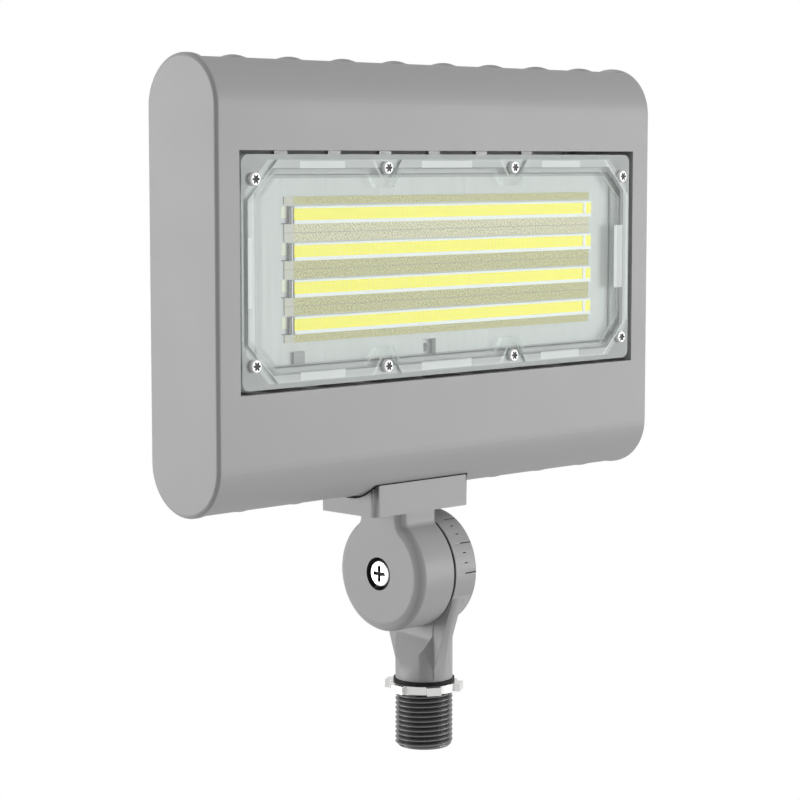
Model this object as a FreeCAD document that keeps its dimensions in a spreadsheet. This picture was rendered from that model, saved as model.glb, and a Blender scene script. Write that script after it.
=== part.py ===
import FreeCAD, Part
import math
import os
import Sketcher

# Flood light on a threaded tilting knuckle.
# X runs along the housing's width, the lamp faces -Y and Z is up. The origin is on the thread's
# axis at the upper end of the free thread, just under the locknut. All lengths are in millimetres.

doc = FreeCAD.newDocument("flood_light")
dim = doc.addObject("Spreadsheet::Sheet", "dim")

sizes = [
    ("thread_radius", "10.65", "outside radius of the half-inch straight pipe thread"),
    ("nipple_length", "25.6", "length of the nipple below the stem"),
    ("relief_length", "4.4", "plain relief between the stem and the full thread"),
    ("relief_radius", "10.4", "radius of that relief"),
    ("nipple_bore", "6.5", "radius of the wire way through the nipple"),
    ("nipple_chamfer", "1.2", "chamfer at the thread's end"),
    ("spigot_radius", "8.0", "radius of the plain end pressed into the stem"),
    ("spigot_length", "8.0", "length of the plain end inside the stem"),
    ("spigot_clear", "0.03", "bonding gap round the plain end"),
    ("stem_radius", "10.65", "outside radius of the stem"),
    ("seal_ring", "1.3", "thickness of the gasket under the stem"),
    ("seal_ring_radius", "11.4", "outside radius of the gasket under the stem"),
    ("thread_clear", "0.1", "radial play of the gasket and the locknut on the thread"),
    ("locknut_thick", "3.0", "thickness of the locknut"),
    ("locknut_radius", "12.6", "radius of the locknut between its lugs"),
    ("lug_radius", "14.4", "radius over the locknut's lugs"),
    ("lug_width", "5.4", "width of one locknut lug"),
    ("lug_count", "6", "number of lugs on the locknut"),
    ("locknut_gap", "0.05", "play between the locknut and the gasket"),
    ("pivot_height", "41.65", "height of the tilt axis above the stem's seat"),
    ("disc_radius", "21.5", "radius of both knuckle discs"),
    ("joint_face", "5.12", "distance of the joint face left of the thread axis"),
    ("lower_disc", "11.3", "width of the lower disc"),
    ("lower_bevel", "0.9", "edge bevel on the outer side of the lower disc"),
    ("web_face", "4.7", "distance of the web's face left of the thread axis"),
    ("web_thick", "5.3", "thickness of the web between stem and lower disc"),
    ("web_foot", "9.7", "half width of the web at its foot"),
    ("web_base", "4.2", "height of the web's foot above the seat"),
    ("web_inset", "0.15", "web's arc inside the rim of the lower disc"),
    ("facet_base", "6.9", "height where the left facet leaves the stem"),
    ("facet_top", "17.3", "height where the left facet meets the joint face"),
    ("shoulder_base", "12.0", "height where the right facet leaves the stem"),
    ("shoulder_top", "22.0", "height where the right facet meets the lower disc"),
    ("stem_top", "30.0", "height of the stem inside the lower disc"),
    ("upper_cavity", "10.0", "depth of the ring-shaped wire cavity in the upper disc"),
    ("cavity_outer", "15.5", "outer radius of that cavity"),
    ("cavity_inner", "6.2", "radius of the hub round the pivot screw"),
    ("stem_bore", "3.6", "radius of the wire way through the stem"),
    ("port_radius", "4.2", "radius of the port from that wire way out of the joint face"),
    ("seal_thick", "1.06", "thickness of the joint seal"),
    ("seal_gap", "0.1", "play between the joint seal and the upper disc"),
    ("seal_inner", "16.5", "inner radius of the joint seal"),
    ("seal_rim", "0.5", "joint seal's rim inside the rim of the discs"),
    ("upper_disc", "17.56", "width of the upper disc and its neck"),
    ("upper_round", "4.3", "edge rounding on the outer side of the upper disc"),
    ("neck_depth", "22.8", "depth of the neck front to back"),
    ("neck_fillet", "3.0", "radius between the neck and the disc"),
    ("block_rise", "23.65", "underside of the block above the tilt axis"),
    ("block_width", "48.5", "width of the block"),
    ("block_depth", "28.8", "depth of the block"),
    ("block_top", "40.0", "top of the block's horns above the tilt axis"),
    ("block_round", "2.66", "radius of the block's upright edges"),
    ("head_recess", "6.06", "radius of the counterbore for the pivot screw"),
    ("head_recess_depth", "3.5", "depth of that counterbore"),
    ("pivot_radius", "2.5", "radius of the pivot screw's shank"),
    ("pivot_clear", "0.06", "running clearance on the pivot screw"),
    ("pivot_head", "4.8", "radius of the pivot screw's head"),
    ("pivot_head_high", "2.9", "height of the pivot screw's head"),
    ("head_gap", "0.1", "play under the pivot screw's head"),
    ("nut_flats", "8.0", "width across flats of the pivot nut"),
    ("nut_high", "4.0", "height of the pivot nut"),
    ("nut_thread", "0.03", "thread play between pivot nut and screw"),
    ("nut_clear", "0.1", "play round the pivot nut in its pocket"),
    ("nut_sink", "0.4", "pivot nut below the lower disc's outer face"),
    ("wire_way", "4.0", "radius of the wire way through neck, block and housing"),
    ("wire_shift", "2.5", "wire way to the right of the upper disc's middle"),
    ("bolt_x", "17.0", "the two knuckle screws left and right of the block's middle"),
    ("bolt_radius", "2.0", "radius of the knuckle screws"),
    ("bolt_clear", "0.15", "clearance round screws in plain and tapped holes"),
    ("bolt_length", "10.0", "length of the knuckle screws under the head"),
    ("bolt_flats", "7.0", "width across flats of the knuckle screws' hexagon heads"),
    ("bolt_head_high", "2.6", "head height of the knuckle screws"),
    ("bolt_sink", "3.2", "counterbore depth for the knuckle screws"),
    ("housing_width", "221.6", "width of the housing"),
    ("housing_height", "155.2", "height of the housing"),
    ("housing_depth", "35.6", "depth of the housing"),
    ("housing_x", "-5.0", "housing's middle along X from the thread axis"),
    ("housing_y", "-1.2", "housing's middle along Y from the thread axis"),
    ("housing_rise", "30.15", "underside of the housing above the tilt axis"),
    ("end_plate", "3.0", "thickness of the two end plates"),
    ("end_bevel", "1.0", "edge bevel of the end plates"),
    ("fin_count", "8", "number of fins between the end plates"),
    ("fin_pitch", "25.3", "spacing of the fins"),
    ("fin_thick", "6.0", "thickness of a fin"),
    ("fin_setback", "0.2", "fins inside the outline of the end plates"),
    ("shell_wall", "3.0", "wall thickness of the front shell"),
    ("shell_lip", "7.2", "shell's edges in front of the housing's middle"),
    ("window_gap_x", "1.4", "gap between the lens and the sides of the window in the shell"),
    ("window_gap_z", "1.3", "gap between the lens and the top and bottom of that window"),
    ("window_rise", "4.85", "window's middle above the housing's middle"),
    ("slot_depth", "21.4", "depth of the slot round the platform from the front"),
    ("platform_width", "195.0", "width of the platform that carries board and lens"),
    ("platform_height", "74.4", "height of that platform"),
    ("platform_thick", "8.0", "thickness of that platform"),
    ("rim_x", "6.0", "rim of the platform beside the board recess"),
    ("rim_z", "4.6", "rim of the platform above and below the board recess"),
    ("pad_high", "9.0", "height of the pad in the housing above the block"),
    ("pad_width", "44.0", "width of that pad"),
    ("pad_roof", "1.0", "solid above the knuckle screws' holes in that pad"),
    ("saddle_gasket", "0.7", "thickness of the gasket between block and housing"),
    ("saddle_inset", "0.6", "saddle gasket inside the block's outline"),
    ("saddle_play", "0.04", "play on each side of the saddle gasket"),
    ("channel_wall", "4.0", "wall round the wire channel in the housing"),
    ("channel_rise", "9.0", "top of the wire channel above the grommet's middle"),
    ("grommet_rise", "7.5", "grommet's middle above the platform's lower edge"),
    ("grommet_radius", "2.6", "outside radius of the grommet"),
    ("grommet_bore", "1.6", "radius of the hole in the grommet"),
    ("grommet_length", "4.5", "length of the grommet"),
    ("lens_inset", "0.75", "lens flange behind the shell's front"),
    ("lens_over_x", "2.0", "lens past the platform at its sides"),
    ("lens_over_z", "2.05", "lens past the platform at its top and bottom"),
    ("lens_corner", "3.0", "corner radius of the lens"),
    ("lens_flange", "2.2", "thickness of the lens flange"),
    ("lens_raise", "1.0", "height of the lens's raised field"),
    ("lens_skin", "1.5", "thickness of the raised field"),
    ("flange_x", "1.8", "lens flange beside the raised field"),
    ("flange_z", "1.85", "lens flange above and below the raised field"),
    ("head_room", "0.35", "room between a corner screw's head and the raised field"),
    ("field_wall", "3.3", "wall between raised field and the hollow behind it"),
    ("notch_mouth", "6.8", "half width of the screw notches at the field's edge"),
    ("notch_floor", "2.6", "half width of the screw notches at their floor"),
    ("notch_room", "1.2", "room between an inner screw's head and its notch's floor"),
    ("gasket_thick", "0.8", "thickness of the lens gasket"),
    ("gasket_inset", "0.3", "lens gasket inside the platform's edge"),
    ("corner_in_x", "3.2", "corner lens screws inside the platform's sides"),
    ("corner_in_z", "6.2", "corner lens screws inside the platform's top and bottom"),
    ("mid_screw_x", "32.65", "inner lens screws from the lens's middle along X"),
    ("mid_in_z", "2.6", "inner lens screws inside the platform's top and bottom"),
    ("screw_radius", "1.0", "radius of the lens screws"),
    ("screw_length", "7.5", "length of the lens screws under the head"),
    ("tap_spare", "1.3", "free depth under the end of a lens screw"),
    ("screw_head", "2.25", "head radius of the lens screws"),
    ("screw_head_high", "1.5", "head height of the lens screws"),
    ("thermal_pad", "0.5", "thickness of the thermal pad"),
    ("thermal_in_x", "8.5", "thermal pad inside the sides of the board recess"),
    ("thermal_in_z", "7.6", "thermal pad inside the top and bottom of the board recess"),
    ("board_thick", "1.8", "thickness of the LED board"),
    ("board_play", "0.4", "play round the LED board in its recess"),
    ("board_sink", "0.3", "board's front behind the platform's front"),
    ("lead_notch", "6.4", "width of the notch for the leads in the board's lower edge"),
    ("row_width", "149.0", "length of one LED row"),
    ("row_height", "4.0", "height of one LED row"),
    ("row_thick", "1.0", "thickness of the LED rows over the board"),
    ("row_count", "4", "number of LED rows"),
    ("row_shift", "0.6", "middle of the LED rows from the lens's middle along X"),
    ("row_rise", "0.35", "middle of the LED rows above the lens's middle"),
    ("bar_width", "2.0", "width of the bars at the rows' left ends"),
    ("bar_gap", "0.6", "gap between bar and row"),
    ("bar_over", "0.6", "height of the bars beyond the rows"),
    ("block_long", "3.0", "width of the blocks at the rows' right ends"),
    ("block_gap", "1.6", "gap between row and end block"),
    ("strip_width", "157.0", "length of the strips between the rows"),
    ("strip_in", "7.925", "outer strips inside the top and bottom of the board recess"),
    ("strip_gap", "1.225", "gap between a row and the strip between it and the next"),
    ("strip_edge", "2.6", "height of the strips beside the outer rows"),
    ("strip_edge_gap", "1.4", "gap between outer rows and those strips"),
    ("strip_thick", "0.4", "thickness of the strips over the board"),
    ("chip_side", "5.0", "width of the rectifier"),
    ("chip_high", "4.2", "height of the rectifier"),
    ("chip_thick", "1.0", "thickness of the rectifier over the board"),
    ("chip_in", "19.7", "rectifier's middle from the left side of the board recess"),
    ("chip_rise", "3.0", "rectifier's middle above the lower side of the board recess"),
    ("overlap", "2.0", "depth by which one form runs into the next"),
    ("cut_over", "4.0", "reach of a cut past the form that it opens"),
]
for row, (alias, value, note) in enumerate(sizes, start=1):
    dim.set("A%d" % row, note)
    dim.set("B%d" % row, value)
    dim.setAlias("B%d" % row, alias)
doc.recompute()

Vec = FreeCAD.Vector

# Places that several pieces share, written from the sizes above.
DISC_X = "-(dim.joint_face + dim.seal_thick + dim.seal_gap + dim.upper_disc / 2)"
SEAT_Z = "dim.relief_length"
PIVOT_Z = "(dim.relief_length + dim.pivot_height)"
HOUSING_Z = "(%s + dim.housing_rise + dim.housing_height / 2)" % PIVOT_Z
ROUND = "(dim.housing_depth / 2)"
ARC_RISE = "(dim.housing_height / 2 - dim.housing_depth / 2)"
FRONT_Y = "(dim.housing_y - dim.housing_depth / 2)"
LENS_Y = "(dim.housing_y - dim.housing_depth / 2 + dim.lens_inset)"
LENS_Z = "(%s + dim.window_rise)" % HOUSING_Z
LENS_STACK = "(dim.lens_inset + dim.lens_flange + dim.gasket_thick)"
PLATFORM_Y = "(%s + %s)" % (FRONT_Y, LENS_STACK)
BOARD_Y = "(%s + dim.board_sink)" % PLATFORM_Y
RECESS = "(dim.board_sink + dim.board_thick + dim.thermal_pad)"
SADDLE_Z = "(dim.housing_rise + dim.housing_depth / 2)"
LENS_W = "(dim.platform_width + 2 * dim.lens_over_x)"
LENS_H = "(dim.platform_height + 2 * dim.lens_over_z)"
RECESS_W = "(dim.platform_width - 2 * dim.rim_x)"
RECESS_H = "(dim.platform_height - 2 * dim.rim_z)"
CORNER_X = "(dim.platform_width / 2 - dim.corner_in_x)"
CORNER_Z = "(dim.platform_height / 2 - dim.corner_in_z)"
MID_Z = "(dim.platform_height / 2 - dim.mid_in_z)"
SCREWS = [(CORNER_X, CORNER_Z), ("dim.mid_screw_x", MID_Z)]
SIDES = [(side, level) for side in ("", "-") for level in ("", "-")]


def number(expression):
    return float(dim.evalExpression(expression))


def body(name, x="0", y="0", z="0", turn=None):
    piece = doc.addObject("PartDesign::Body", name)
    piece.Label = name
    piece.AllowCompound = True
    if turn is not None:
        piece.Placement = FreeCAD.Placement(Vec(0, 0, 0), turn)
    piece.setExpression("Placement.Base.x", x)
    piece.setExpression("Placement.Base.y", y)
    piece.setExpression("Placement.Base.z", z)
    return piece


def base(piece, role):
    return next(f for f in piece.Origin.OriginFeatures if f.Role == role)


def sketch(piece, name, role, x="0", y="0", z="0"):
    drawing = piece.newObject("Sketcher::SketchObject", name)
    drawing.AttachmentSupport = [(base(piece, role), "")]
    drawing.MapMode = "FlatFace"
    drawing.setExpression("AttachmentOffset.Base.x", x)
    drawing.setExpression("AttachmentOffset.Base.y", y)
    drawing.setExpression("AttachmentOffset.Base.z", z)
    return drawing


def join(drawing, kind, *where):
    return drawing.addConstraint(Sketcher.Constraint(kind, *where))


def tie(drawing, expression, kind, *where):
    index = drawing.addConstraint(Sketcher.Constraint(kind, *where, number(expression)))
    drawing.renameConstraint(index, "size%d" % index)
    drawing.setExpression("Constraints.size%d" % index, expression)


def rectangle(drawing, width, height):
    w = number(width) / 2
    h = number(height) / 2
    corners = [Vec(-w, -h, 0), Vec(w, -h, 0), Vec(w, h, 0), Vec(-w, h, 0)]
    first = drawing.GeometryCount
    for k in range(4):
        drawing.addGeometry(Part.LineSegment(corners[k], corners[(k + 1) % 4]), False)
    for k in range(4):
        join(drawing, "Coincident", first + k, 2, first + (k + 1) % 4, 1)
    join(drawing, "Horizontal", first)
    join(drawing, "Horizontal", first + 2)
    join(drawing, "Vertical", first + 1)
    join(drawing, "Vertical", first + 3)
    join(drawing, "Symmetric", first, 1, first + 2, 1, -1, 1)
    tie(drawing, width, "DistanceX", first, 1, first, 2)
    tie(drawing, height, "DistanceY", first + 1, 1, first + 1, 2)


def circle(drawing, radius, x="0", y="0"):
    centre = Vec(number(x), number(y), 0)
    index = drawing.addGeometry(Part.Circle(centre, Vec(0, 0, 1), number(radius)), False)
    tie(drawing, x, "DistanceX", -1, 1, index, 3)
    tie(drawing, y, "DistanceY", -1, 1, index, 3)
    tie(drawing, radius, "Radius", index)


def polygon(drawing, points):
    spots = [Vec(number(x), number(y), 0) for x, y in points]
    first = drawing.GeometryCount
    count = len(spots)
    for k in range(count):
        drawing.addGeometry(Part.LineSegment(spots[k], spots[(k + 1) % count]), False)
    for k in range(count):
        join(drawing, "Coincident", first + k, 2, first + (k + 1) % count, 1)
    for k, (x, y) in enumerate(points):
        tie(drawing, x, "DistanceX", -1, 1, first + k, 1)
        tie(drawing, y, "DistanceY", -1, 1, first + k, 1)


def even_polygon(drawing, corners, radius, x="0", y="0"):
    turns = ["%g deg" % (360 * k / corners) for k in range(corners)]
    polygon(drawing, [("%s + %s * cos(%s)" % (x, radius, turn), "%s + %s * sin(%s)" % (y, radius, turn))
                      for turn in turns])


def hexagon(drawing, flats, x="0", y="0"):
    even_polygon(drawing, 6, "(%s) / sqrt(3)" % flats, x, y)


def lens_screw_holes(drawing):
    for side, level in SIDES:
        for x, z in SCREWS:
            hexagon(drawing, "2 * (dim.screw_radius + dim.bolt_clear)", side + x, level + z)


def knuckle_screw_holes(drawing):
    for side in ("", "-"):
        hexagon(drawing, "2 * (dim.bolt_radius + dim.bolt_clear)", side + "dim.bolt_x")


def stadium(drawing, height, depth):
    r = number(depth) / 2
    h = number(height) / 2 - r
    drawing.addGeometry(Part.LineSegment(Vec(r, -h, 0), Vec(r, h, 0)), False)
    drawing.addGeometry(Part.ArcOfCircle(Part.Circle(Vec(0, h, 0), Vec(0, 0, 1), r), 0, math.pi), False)
    drawing.addGeometry(Part.LineSegment(Vec(-r, h, 0), Vec(-r, -h, 0)), False)
    low = Part.Circle(Vec(0, -h, 0), Vec(0, 0, 1), r)
    drawing.addGeometry(Part.ArcOfCircle(low, math.pi, 2 * math.pi), False)
    for k in range(4):
        join(drawing, "Tangent", k, 2, (k + 1) % 4, 1)
    join(drawing, "Vertical", 0)
    join(drawing, "PointOnObject", 1, 3, -2)
    join(drawing, "Symmetric", 1, 3, 3, 3, -1, 1)
    tie(drawing, "(%s) / 2" % depth, "Radius", 1)
    tie(drawing, "(%s) - (%s)" % (height, depth), "DistanceY", 3, 3, 1, 3)


def pad(piece, name, drawing, length, middle=False, back=False):
    drawing.Visibility = False
    feature = piece.newObject("PartDesign::Pad", name)
    feature.Profile = drawing
    feature.Midplane = middle
    feature.Reversed = back
    feature.setExpression("Length", length)
    doc.recompute()
    return feature


def pocket(piece, name, drawing, length, middle=False, back=False):
    drawing.Visibility = False
    feature = piece.newObject("PartDesign::Pocket", name)
    feature.Profile = drawing
    feature.Midplane = middle
    feature.Reversed = back
    feature.setExpression("Length", length)
    doc.recompute()
    return feature


def revolve(piece, name, drawing):
    drawing.Visibility = False
    feature = piece.newObject("PartDesign::Revolution", name)
    feature.Profile = drawing
    feature.ReferenceAxis = (drawing, ["V_Axis"])
    feature.Angle = 360.0
    doc.recompute()
    return feature


def mirror(piece, name, role):
    feature = piece.newObject("PartDesign::Mirrored", name)
    feature.TransformMode = "Whole shape"
    feature.MirrorPlane = (base(piece, role), [""])
    piece.Tip = feature
    doc.recompute()
    return feature


def array(piece, name, role, spacing, count):
    feature = piece.newObject("PartDesign::LinearPattern", name)
    feature.TransformMode = "Whole shape"
    feature.Direction = (base(piece, role), [""])
    feature.Mode = "Spacing"
    feature.setExpression("Offset", spacing)
    feature.setExpression("Occurrences", count)
    piece.Tip = feature
    doc.recompute()
    return feature


def edge_names(shape, chosen):
    return ["Edge%d" % (k + 1) for k, edge in enumerate(shape.Edges) if chosen(edge)]


def round_edges(piece, name, chosen, radius):
    previous = piece.Tip
    feature = piece.newObject("PartDesign::Fillet", name)
    feature.Base = (previous, edge_names(previous.Shape, chosen))
    feature.setExpression("Radius", radius)
    doc.recompute()
    return feature


def bevel_edges(piece, name, chosen, size):
    previous = piece.Tip
    feature = piece.newObject("PartDesign::Chamfer", name)
    feature.Base = (previous, edge_names(previous.Shape, chosen))
    feature.setExpression("Size", size)
    doc.recompute()
    return feature


NEAR = 1e-3


def at_x(edge, x):
    box = edge.BoundBox
    return box.XLength < NEAR and abs(box.XMin - x) < NEAR


def runs_along(edge, axis):
    spread = {"X": edge.BoundBox.XLength, "Y": edge.BoundBox.YLength, "Z": edge.BoundBox.ZLength}
    return spread.pop(axis) > NEAR and max(spread.values()) < NEAR


# Housing: fins on a stadium outline, a front shell over them and an end plate at each end.
housing = body("housing", "dim.housing_x", "dim.housing_y", HOUSING_Z)
fin_outline = sketch(housing, "fin_outline", "YZ_Plane", z="-(dim.fin_count - 1) / 2 * dim.fin_pitch")
stadium(fin_outline, "dim.housing_height - 2 * dim.fin_setback", "dim.housing_depth - 2 * dim.fin_setback")
pad(housing, "first_fin", fin_outline, "dim.fin_thick", middle=True)
array(housing, "fins", "X_Axis", "dim.fin_pitch", "dim.fin_count")

shell_outline = sketch(housing, "shell_outline", "YZ_Plane")
outer = number(ROUND)
inner = outer - number("dim.shell_wall")
lip = number("dim.shell_lip")
rise = number(ARC_RISE)
outer_turn = math.acos(-lip / outer)
inner_turn = math.acos(-lip / inner)
up = Vec(0, rise, 0)
down = Vec(0, -rise, 0)
axis = Vec(0, 0, 1)
shell_outline.addGeometry(Part.LineSegment(Vec(-outer, -rise, 0), Vec(-outer, rise, 0)), False)
shell_outline.addGeometry(Part.ArcOfCircle(Part.Circle(up, axis, outer), outer_turn, math.pi), False)
shell_outline.addGeometry(Part.LineSegment(
    Vec(-lip, rise + outer * math.sin(outer_turn), 0),
    Vec(-lip, rise + inner * math.sin(inner_turn), 0)), False)
shell_outline.addGeometry(Part.ArcOfCircle(Part.Circle(up, axis, inner), inner_turn, math.pi), False)
shell_outline.addGeometry(Part.LineSegment(Vec(-inner, rise, 0), Vec(-inner, -rise, 0)), False)
low_inner = Part.Circle(down, axis, inner)
shell_outline.addGeometry(Part.ArcOfCircle(low_inner, math.pi, 2 * math.pi - inner_turn), False)
shell_outline.addGeometry(Part.LineSegment(
    Vec(-lip, -rise - inner * math.sin(inner_turn), 0),
    Vec(-lip, -rise - outer * math.sin(outer_turn), 0)), False)
low_outer = Part.Circle(down, axis, outer)
shell_outline.addGeometry(Part.ArcOfCircle(low_outer, math.pi, 2 * math.pi - outer_turn), False)
join(shell_outline, "Tangent", 0, 2, 1, 2)
join(shell_outline, "Coincident", 1, 1, 2, 1)
join(shell_outline, "Coincident", 2, 2, 3, 1)
join(shell_outline, "Tangent", 3, 2, 4, 1)
join(shell_outline, "Tangent", 4, 2, 5, 1)
join(shell_outline, "Coincident", 5, 2, 6, 1)
join(shell_outline, "Coincident", 6, 2, 7, 2)
join(shell_outline, "Tangent", 7, 1, 0, 1)
join(shell_outline, "Coincident", 1, 3, 3, 3)
join(shell_outline, "Coincident", 5, 3, 7, 3)
join(shell_outline, "PointOnObject", 1, 3, -2)
join(shell_outline, "Symmetric", 1, 3, 7, 3, -1, 1)
join(shell_outline, "Vertical", 0)
join(shell_outline, "Vertical", 2)
join(shell_outline, "Vertical", 6)
tie(shell_outline, ROUND, "Radius", 1)
tie(shell_outline, ROUND + " - dim.shell_wall", "Radius", 3)
tie(shell_outline, "2 * " + ARC_RISE, "DistanceY", 7, 3, 1, 3)
tie(shell_outline, "-dim.shell_lip", "DistanceX", -1, 1, 2, 1)
tie(shell_outline, "-dim.shell_lip", "DistanceX", -1, 1, 6, 1)
pad(housing, "front_shell", shell_outline, "dim.housing_width - dim.end_plate", middle=True)

left_end = sketch(housing, "left_end_outline", "YZ_Plane", z="-dim.housing_width / 2")
stadium(left_end, "dim.housing_height", "dim.housing_depth")
pad(housing, "left_end_plate", left_end, "dim.end_plate")
right_end = sketch(housing, "right_end_outline", "YZ_Plane", z="dim.housing_width / 2")
stadium(right_end, "dim.housing_height", "dim.housing_depth")
pad(housing, "right_end_plate", right_end, "dim.end_plate", back=True)
half_width = number("dim.housing_width / 2")
bevel_edges(housing, "end_edges", lambda e: at_x(e, -half_width) or at_x(e, half_width), "dim.end_bevel")

# The window opens the shell; a slot runs round the platform that carries the board and the lens.
slot = sketch(housing, "slot_outline", "XZ_Plane", y="dim.window_rise", z=ROUND)
rectangle(slot, LENS_W + " + 2 * dim.window_gap_x", LENS_H + " + 2 * dim.window_gap_z")
rectangle(slot, "dim.platform_width", "dim.platform_height")
pocket(housing, "slot", slot, "dim.slot_depth")
face = sketch(housing, "platform_face", "XZ_Plane", y="dim.window_rise", z=ROUND)
rectangle(face, "dim.platform_width", "dim.platform_height")
pocket(housing, "window", face, LENS_STACK)
plate = sketch(housing, "platform_outline", "XZ_Plane", y="dim.window_rise", z=ROUND + " - " + LENS_STACK)
rectangle(plate, "dim.platform_width", "dim.platform_height")
pad(housing, "platform", plate, "dim.platform_thick", back=True)

# A pad in the housing's underside takes the knuckle screws; the wire channel rises from it. The holes
# for thread-forming screws are cored with six flats.
saddle = sketch(housing, "pad_outline", "YZ_Plane", z="%s - dim.housing_x" % DISC_X)
chord = -number("dim.housing_height / 2") + number("dim.pad_high")
half_chord = math.sqrt(outer ** 2 - (outer - number("dim.pad_high")) ** 2)
chord_turn = math.asin((outer - number("dim.pad_high")) / outer)
saddle.addGeometry(Part.ArcOfCircle(low_outer, math.pi + chord_turn, 2 * math.pi - chord_turn), False)
saddle.addGeometry(Part.LineSegment(Vec(half_chord, chord, 0), Vec(-half_chord, chord, 0)), False)
join(saddle, "Coincident", 0, 2, 1, 1)
join(saddle, "Coincident", 1, 2, 0, 1)
join(saddle, "Horizontal", 1)
join(saddle, "PointOnObject", 0, 3, -2)
tie(saddle, ROUND, "Radius", 0)
tie(saddle, "-" + ARC_RISE, "DistanceY", -1, 1, 0, 3)
tie(saddle, "dim.pad_high - dim.housing_height / 2", "DistanceY", -1, 1, 1, 1)
pad(housing, "knuckle_pad", saddle, "dim.pad_width", middle=True)

WIRE_X = "(%s + dim.wire_shift - dim.housing_x)" % DISC_X
GROMMET_Z = "(dim.window_rise - dim.platform_height / 2 + dim.grommet_rise)"
channel = sketch(housing, "channel_outline", "XY_Plane", z="dim.pad_high / 2 - dim.housing_height / 2")
circle(channel, "dim.wire_way + dim.channel_wall", WIRE_X, "-dim.housing_y")
CHANNEL_HIGH = "(%s + dim.channel_rise + dim.housing_height / 2 - dim.pad_high / 2)" % GROMMET_Z
pad(housing, "wire_channel", channel, CHANNEL_HIGH)
recess = sketch(housing, "recess_outline", "XZ_Plane", y="dim.window_rise", z=ROUND + " - " + LENS_STACK)
rectangle(recess, RECESS_W, RECESS_H)
pocket(housing, "board_recess", recess, RECESS)
way = sketch(housing, "wire_way_outline", "XY_Plane", z="%s + dim.channel_rise / 2" % GROMMET_Z)
circle(way, "dim.wire_way", WIRE_X, "-dim.housing_y")
pocket(housing, "wire_way", way, "dim.housing_height")
entry = sketch(housing, "entry_outline", "XZ_Plane", z=ROUND + " - " + LENS_STACK)
circle(entry, "dim.grommet_radius", WIRE_X, GROMMET_Z)
pocket(housing, "lead_entry", entry, "%s - %s - dim.housing_y" % (ROUND, LENS_STACK))

taps = sketch(housing, "lens_taps", "XZ_Plane", y="dim.window_rise", z=ROUND + " - " + LENS_STACK)
lens_screw_holes(taps)
pocket(housing, "lens_screw_holes", taps,
       "dim.screw_length - dim.lens_flange - dim.gasket_thick + dim.tap_spare")
bolts = sketch(housing, "bolt_taps", "XY_Plane", x="%s - dim.housing_x" % DISC_X, y="-dim.housing_y",
               z="-dim.housing_height / 2")
knuckle_screw_holes(bolts)
pocket(housing, "knuckle_screw_holes", bolts, "dim.pad_high - dim.pad_roof", back=True)

# Lens: a flange with a raised field, notched round the inner screws and hollow behind.


def field(drawing, inset):
    half_w = "(%s / 2 - dim.flange_x)" % LENS_W
    half_h = "(%s / 2 - dim.flange_z)" % LENS_H
    cut = "(%s + %s - %s - %s + " % (half_w, half_h, CORNER_X, CORNER_Z)
    cut += "sqrt(2) * (dim.screw_head + dim.head_room))"
    slant = "(dim.notch_mouth - dim.notch_floor)"
    floor_z = "(%s - dim.screw_head - dim.notch_room - %s)" % (MID_Z, inset)
    deep = "(%s - %s + dim.screw_head + dim.notch_room)" % (half_h, MID_Z)
    spread = "(%s * (sqrt(%s ^ 2 + %s ^ 2) - %s) / %s)" % (inset, slant, deep, slant, deep)
    w = "(%s - %s)" % (half_w, inset)
    h = "(%s - %s)" % (half_h, inset)
    corner = "(%s - (2 - sqrt(2)) * %s)" % (cut, inset)
    mouth = "(dim.notch_mouth + %s)" % spread
    floor = "(dim.notch_floor + %s)" % spread
    x = "dim.mid_screw_x"
    points = []
    for a, b in (("", ""), ("-", ""), ("-", "-"), ("", "-")):
        quarter = [
            (a + w, "%s(%s - %s)" % (b, h, corner)),
            ("%s(%s - %s)" % (a, w, corner), b + h),
            ("%s(%s + %s)" % (a, x, mouth), b + h),
            ("%s(%s + %s)" % (a, x, floor), b + floor_z),
            ("%s(%s - %s)" % (a, x, floor), b + floor_z),
            ("%s(%s - %s)" % (a, x, mouth), b + h),
        ]
        points += quarter if a == b else quarter[::-1]
    polygon(drawing, points)


lens = body("lens", "dim.housing_x", LENS_Y, LENS_Z)
flange = sketch(lens, "flange_outline", "XZ_Plane")
rectangle(flange, LENS_W, LENS_H)
pad(lens, "flange", flange, "dim.lens_flange", back=True)
round_edges(lens, "flange_corners", lambda e: runs_along(e, "Y"), "dim.lens_corner")
raised = sketch(lens, "field_outline", "XZ_Plane")
field(raised, "0")
pad(lens, "raised_field", raised, "dim.lens_raise")
hollow = sketch(lens, "hollow_outline", "XZ_Plane", z="-dim.lens_flange")
field(hollow, "dim.field_wall")
pocket(lens, "hollow", hollow, "dim.lens_flange + dim.lens_raise - dim.lens_skin", back=True)
lens_holes = sketch(lens, "lens_hole_outline", "XZ_Plane")
lens_screw_holes(lens_holes)
pocket(lens, "lens_holes", lens_holes, "dim.lens_flange")

lens_gasket = body("lens_gasket", "dim.housing_x", PLATFORM_Y, LENS_Z)
ring = sketch(lens_gasket, "gasket_outline", "XZ_Plane")
rectangle(ring, "dim.platform_width - 2 * dim.gasket_inset", "dim.platform_height - 2 * dim.gasket_inset")
rectangle(ring, RECESS_W, RECESS_H)
lens_screw_holes(ring)
pad(lens_gasket, "gasket_ring", ring, "dim.gasket_thick")

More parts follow.
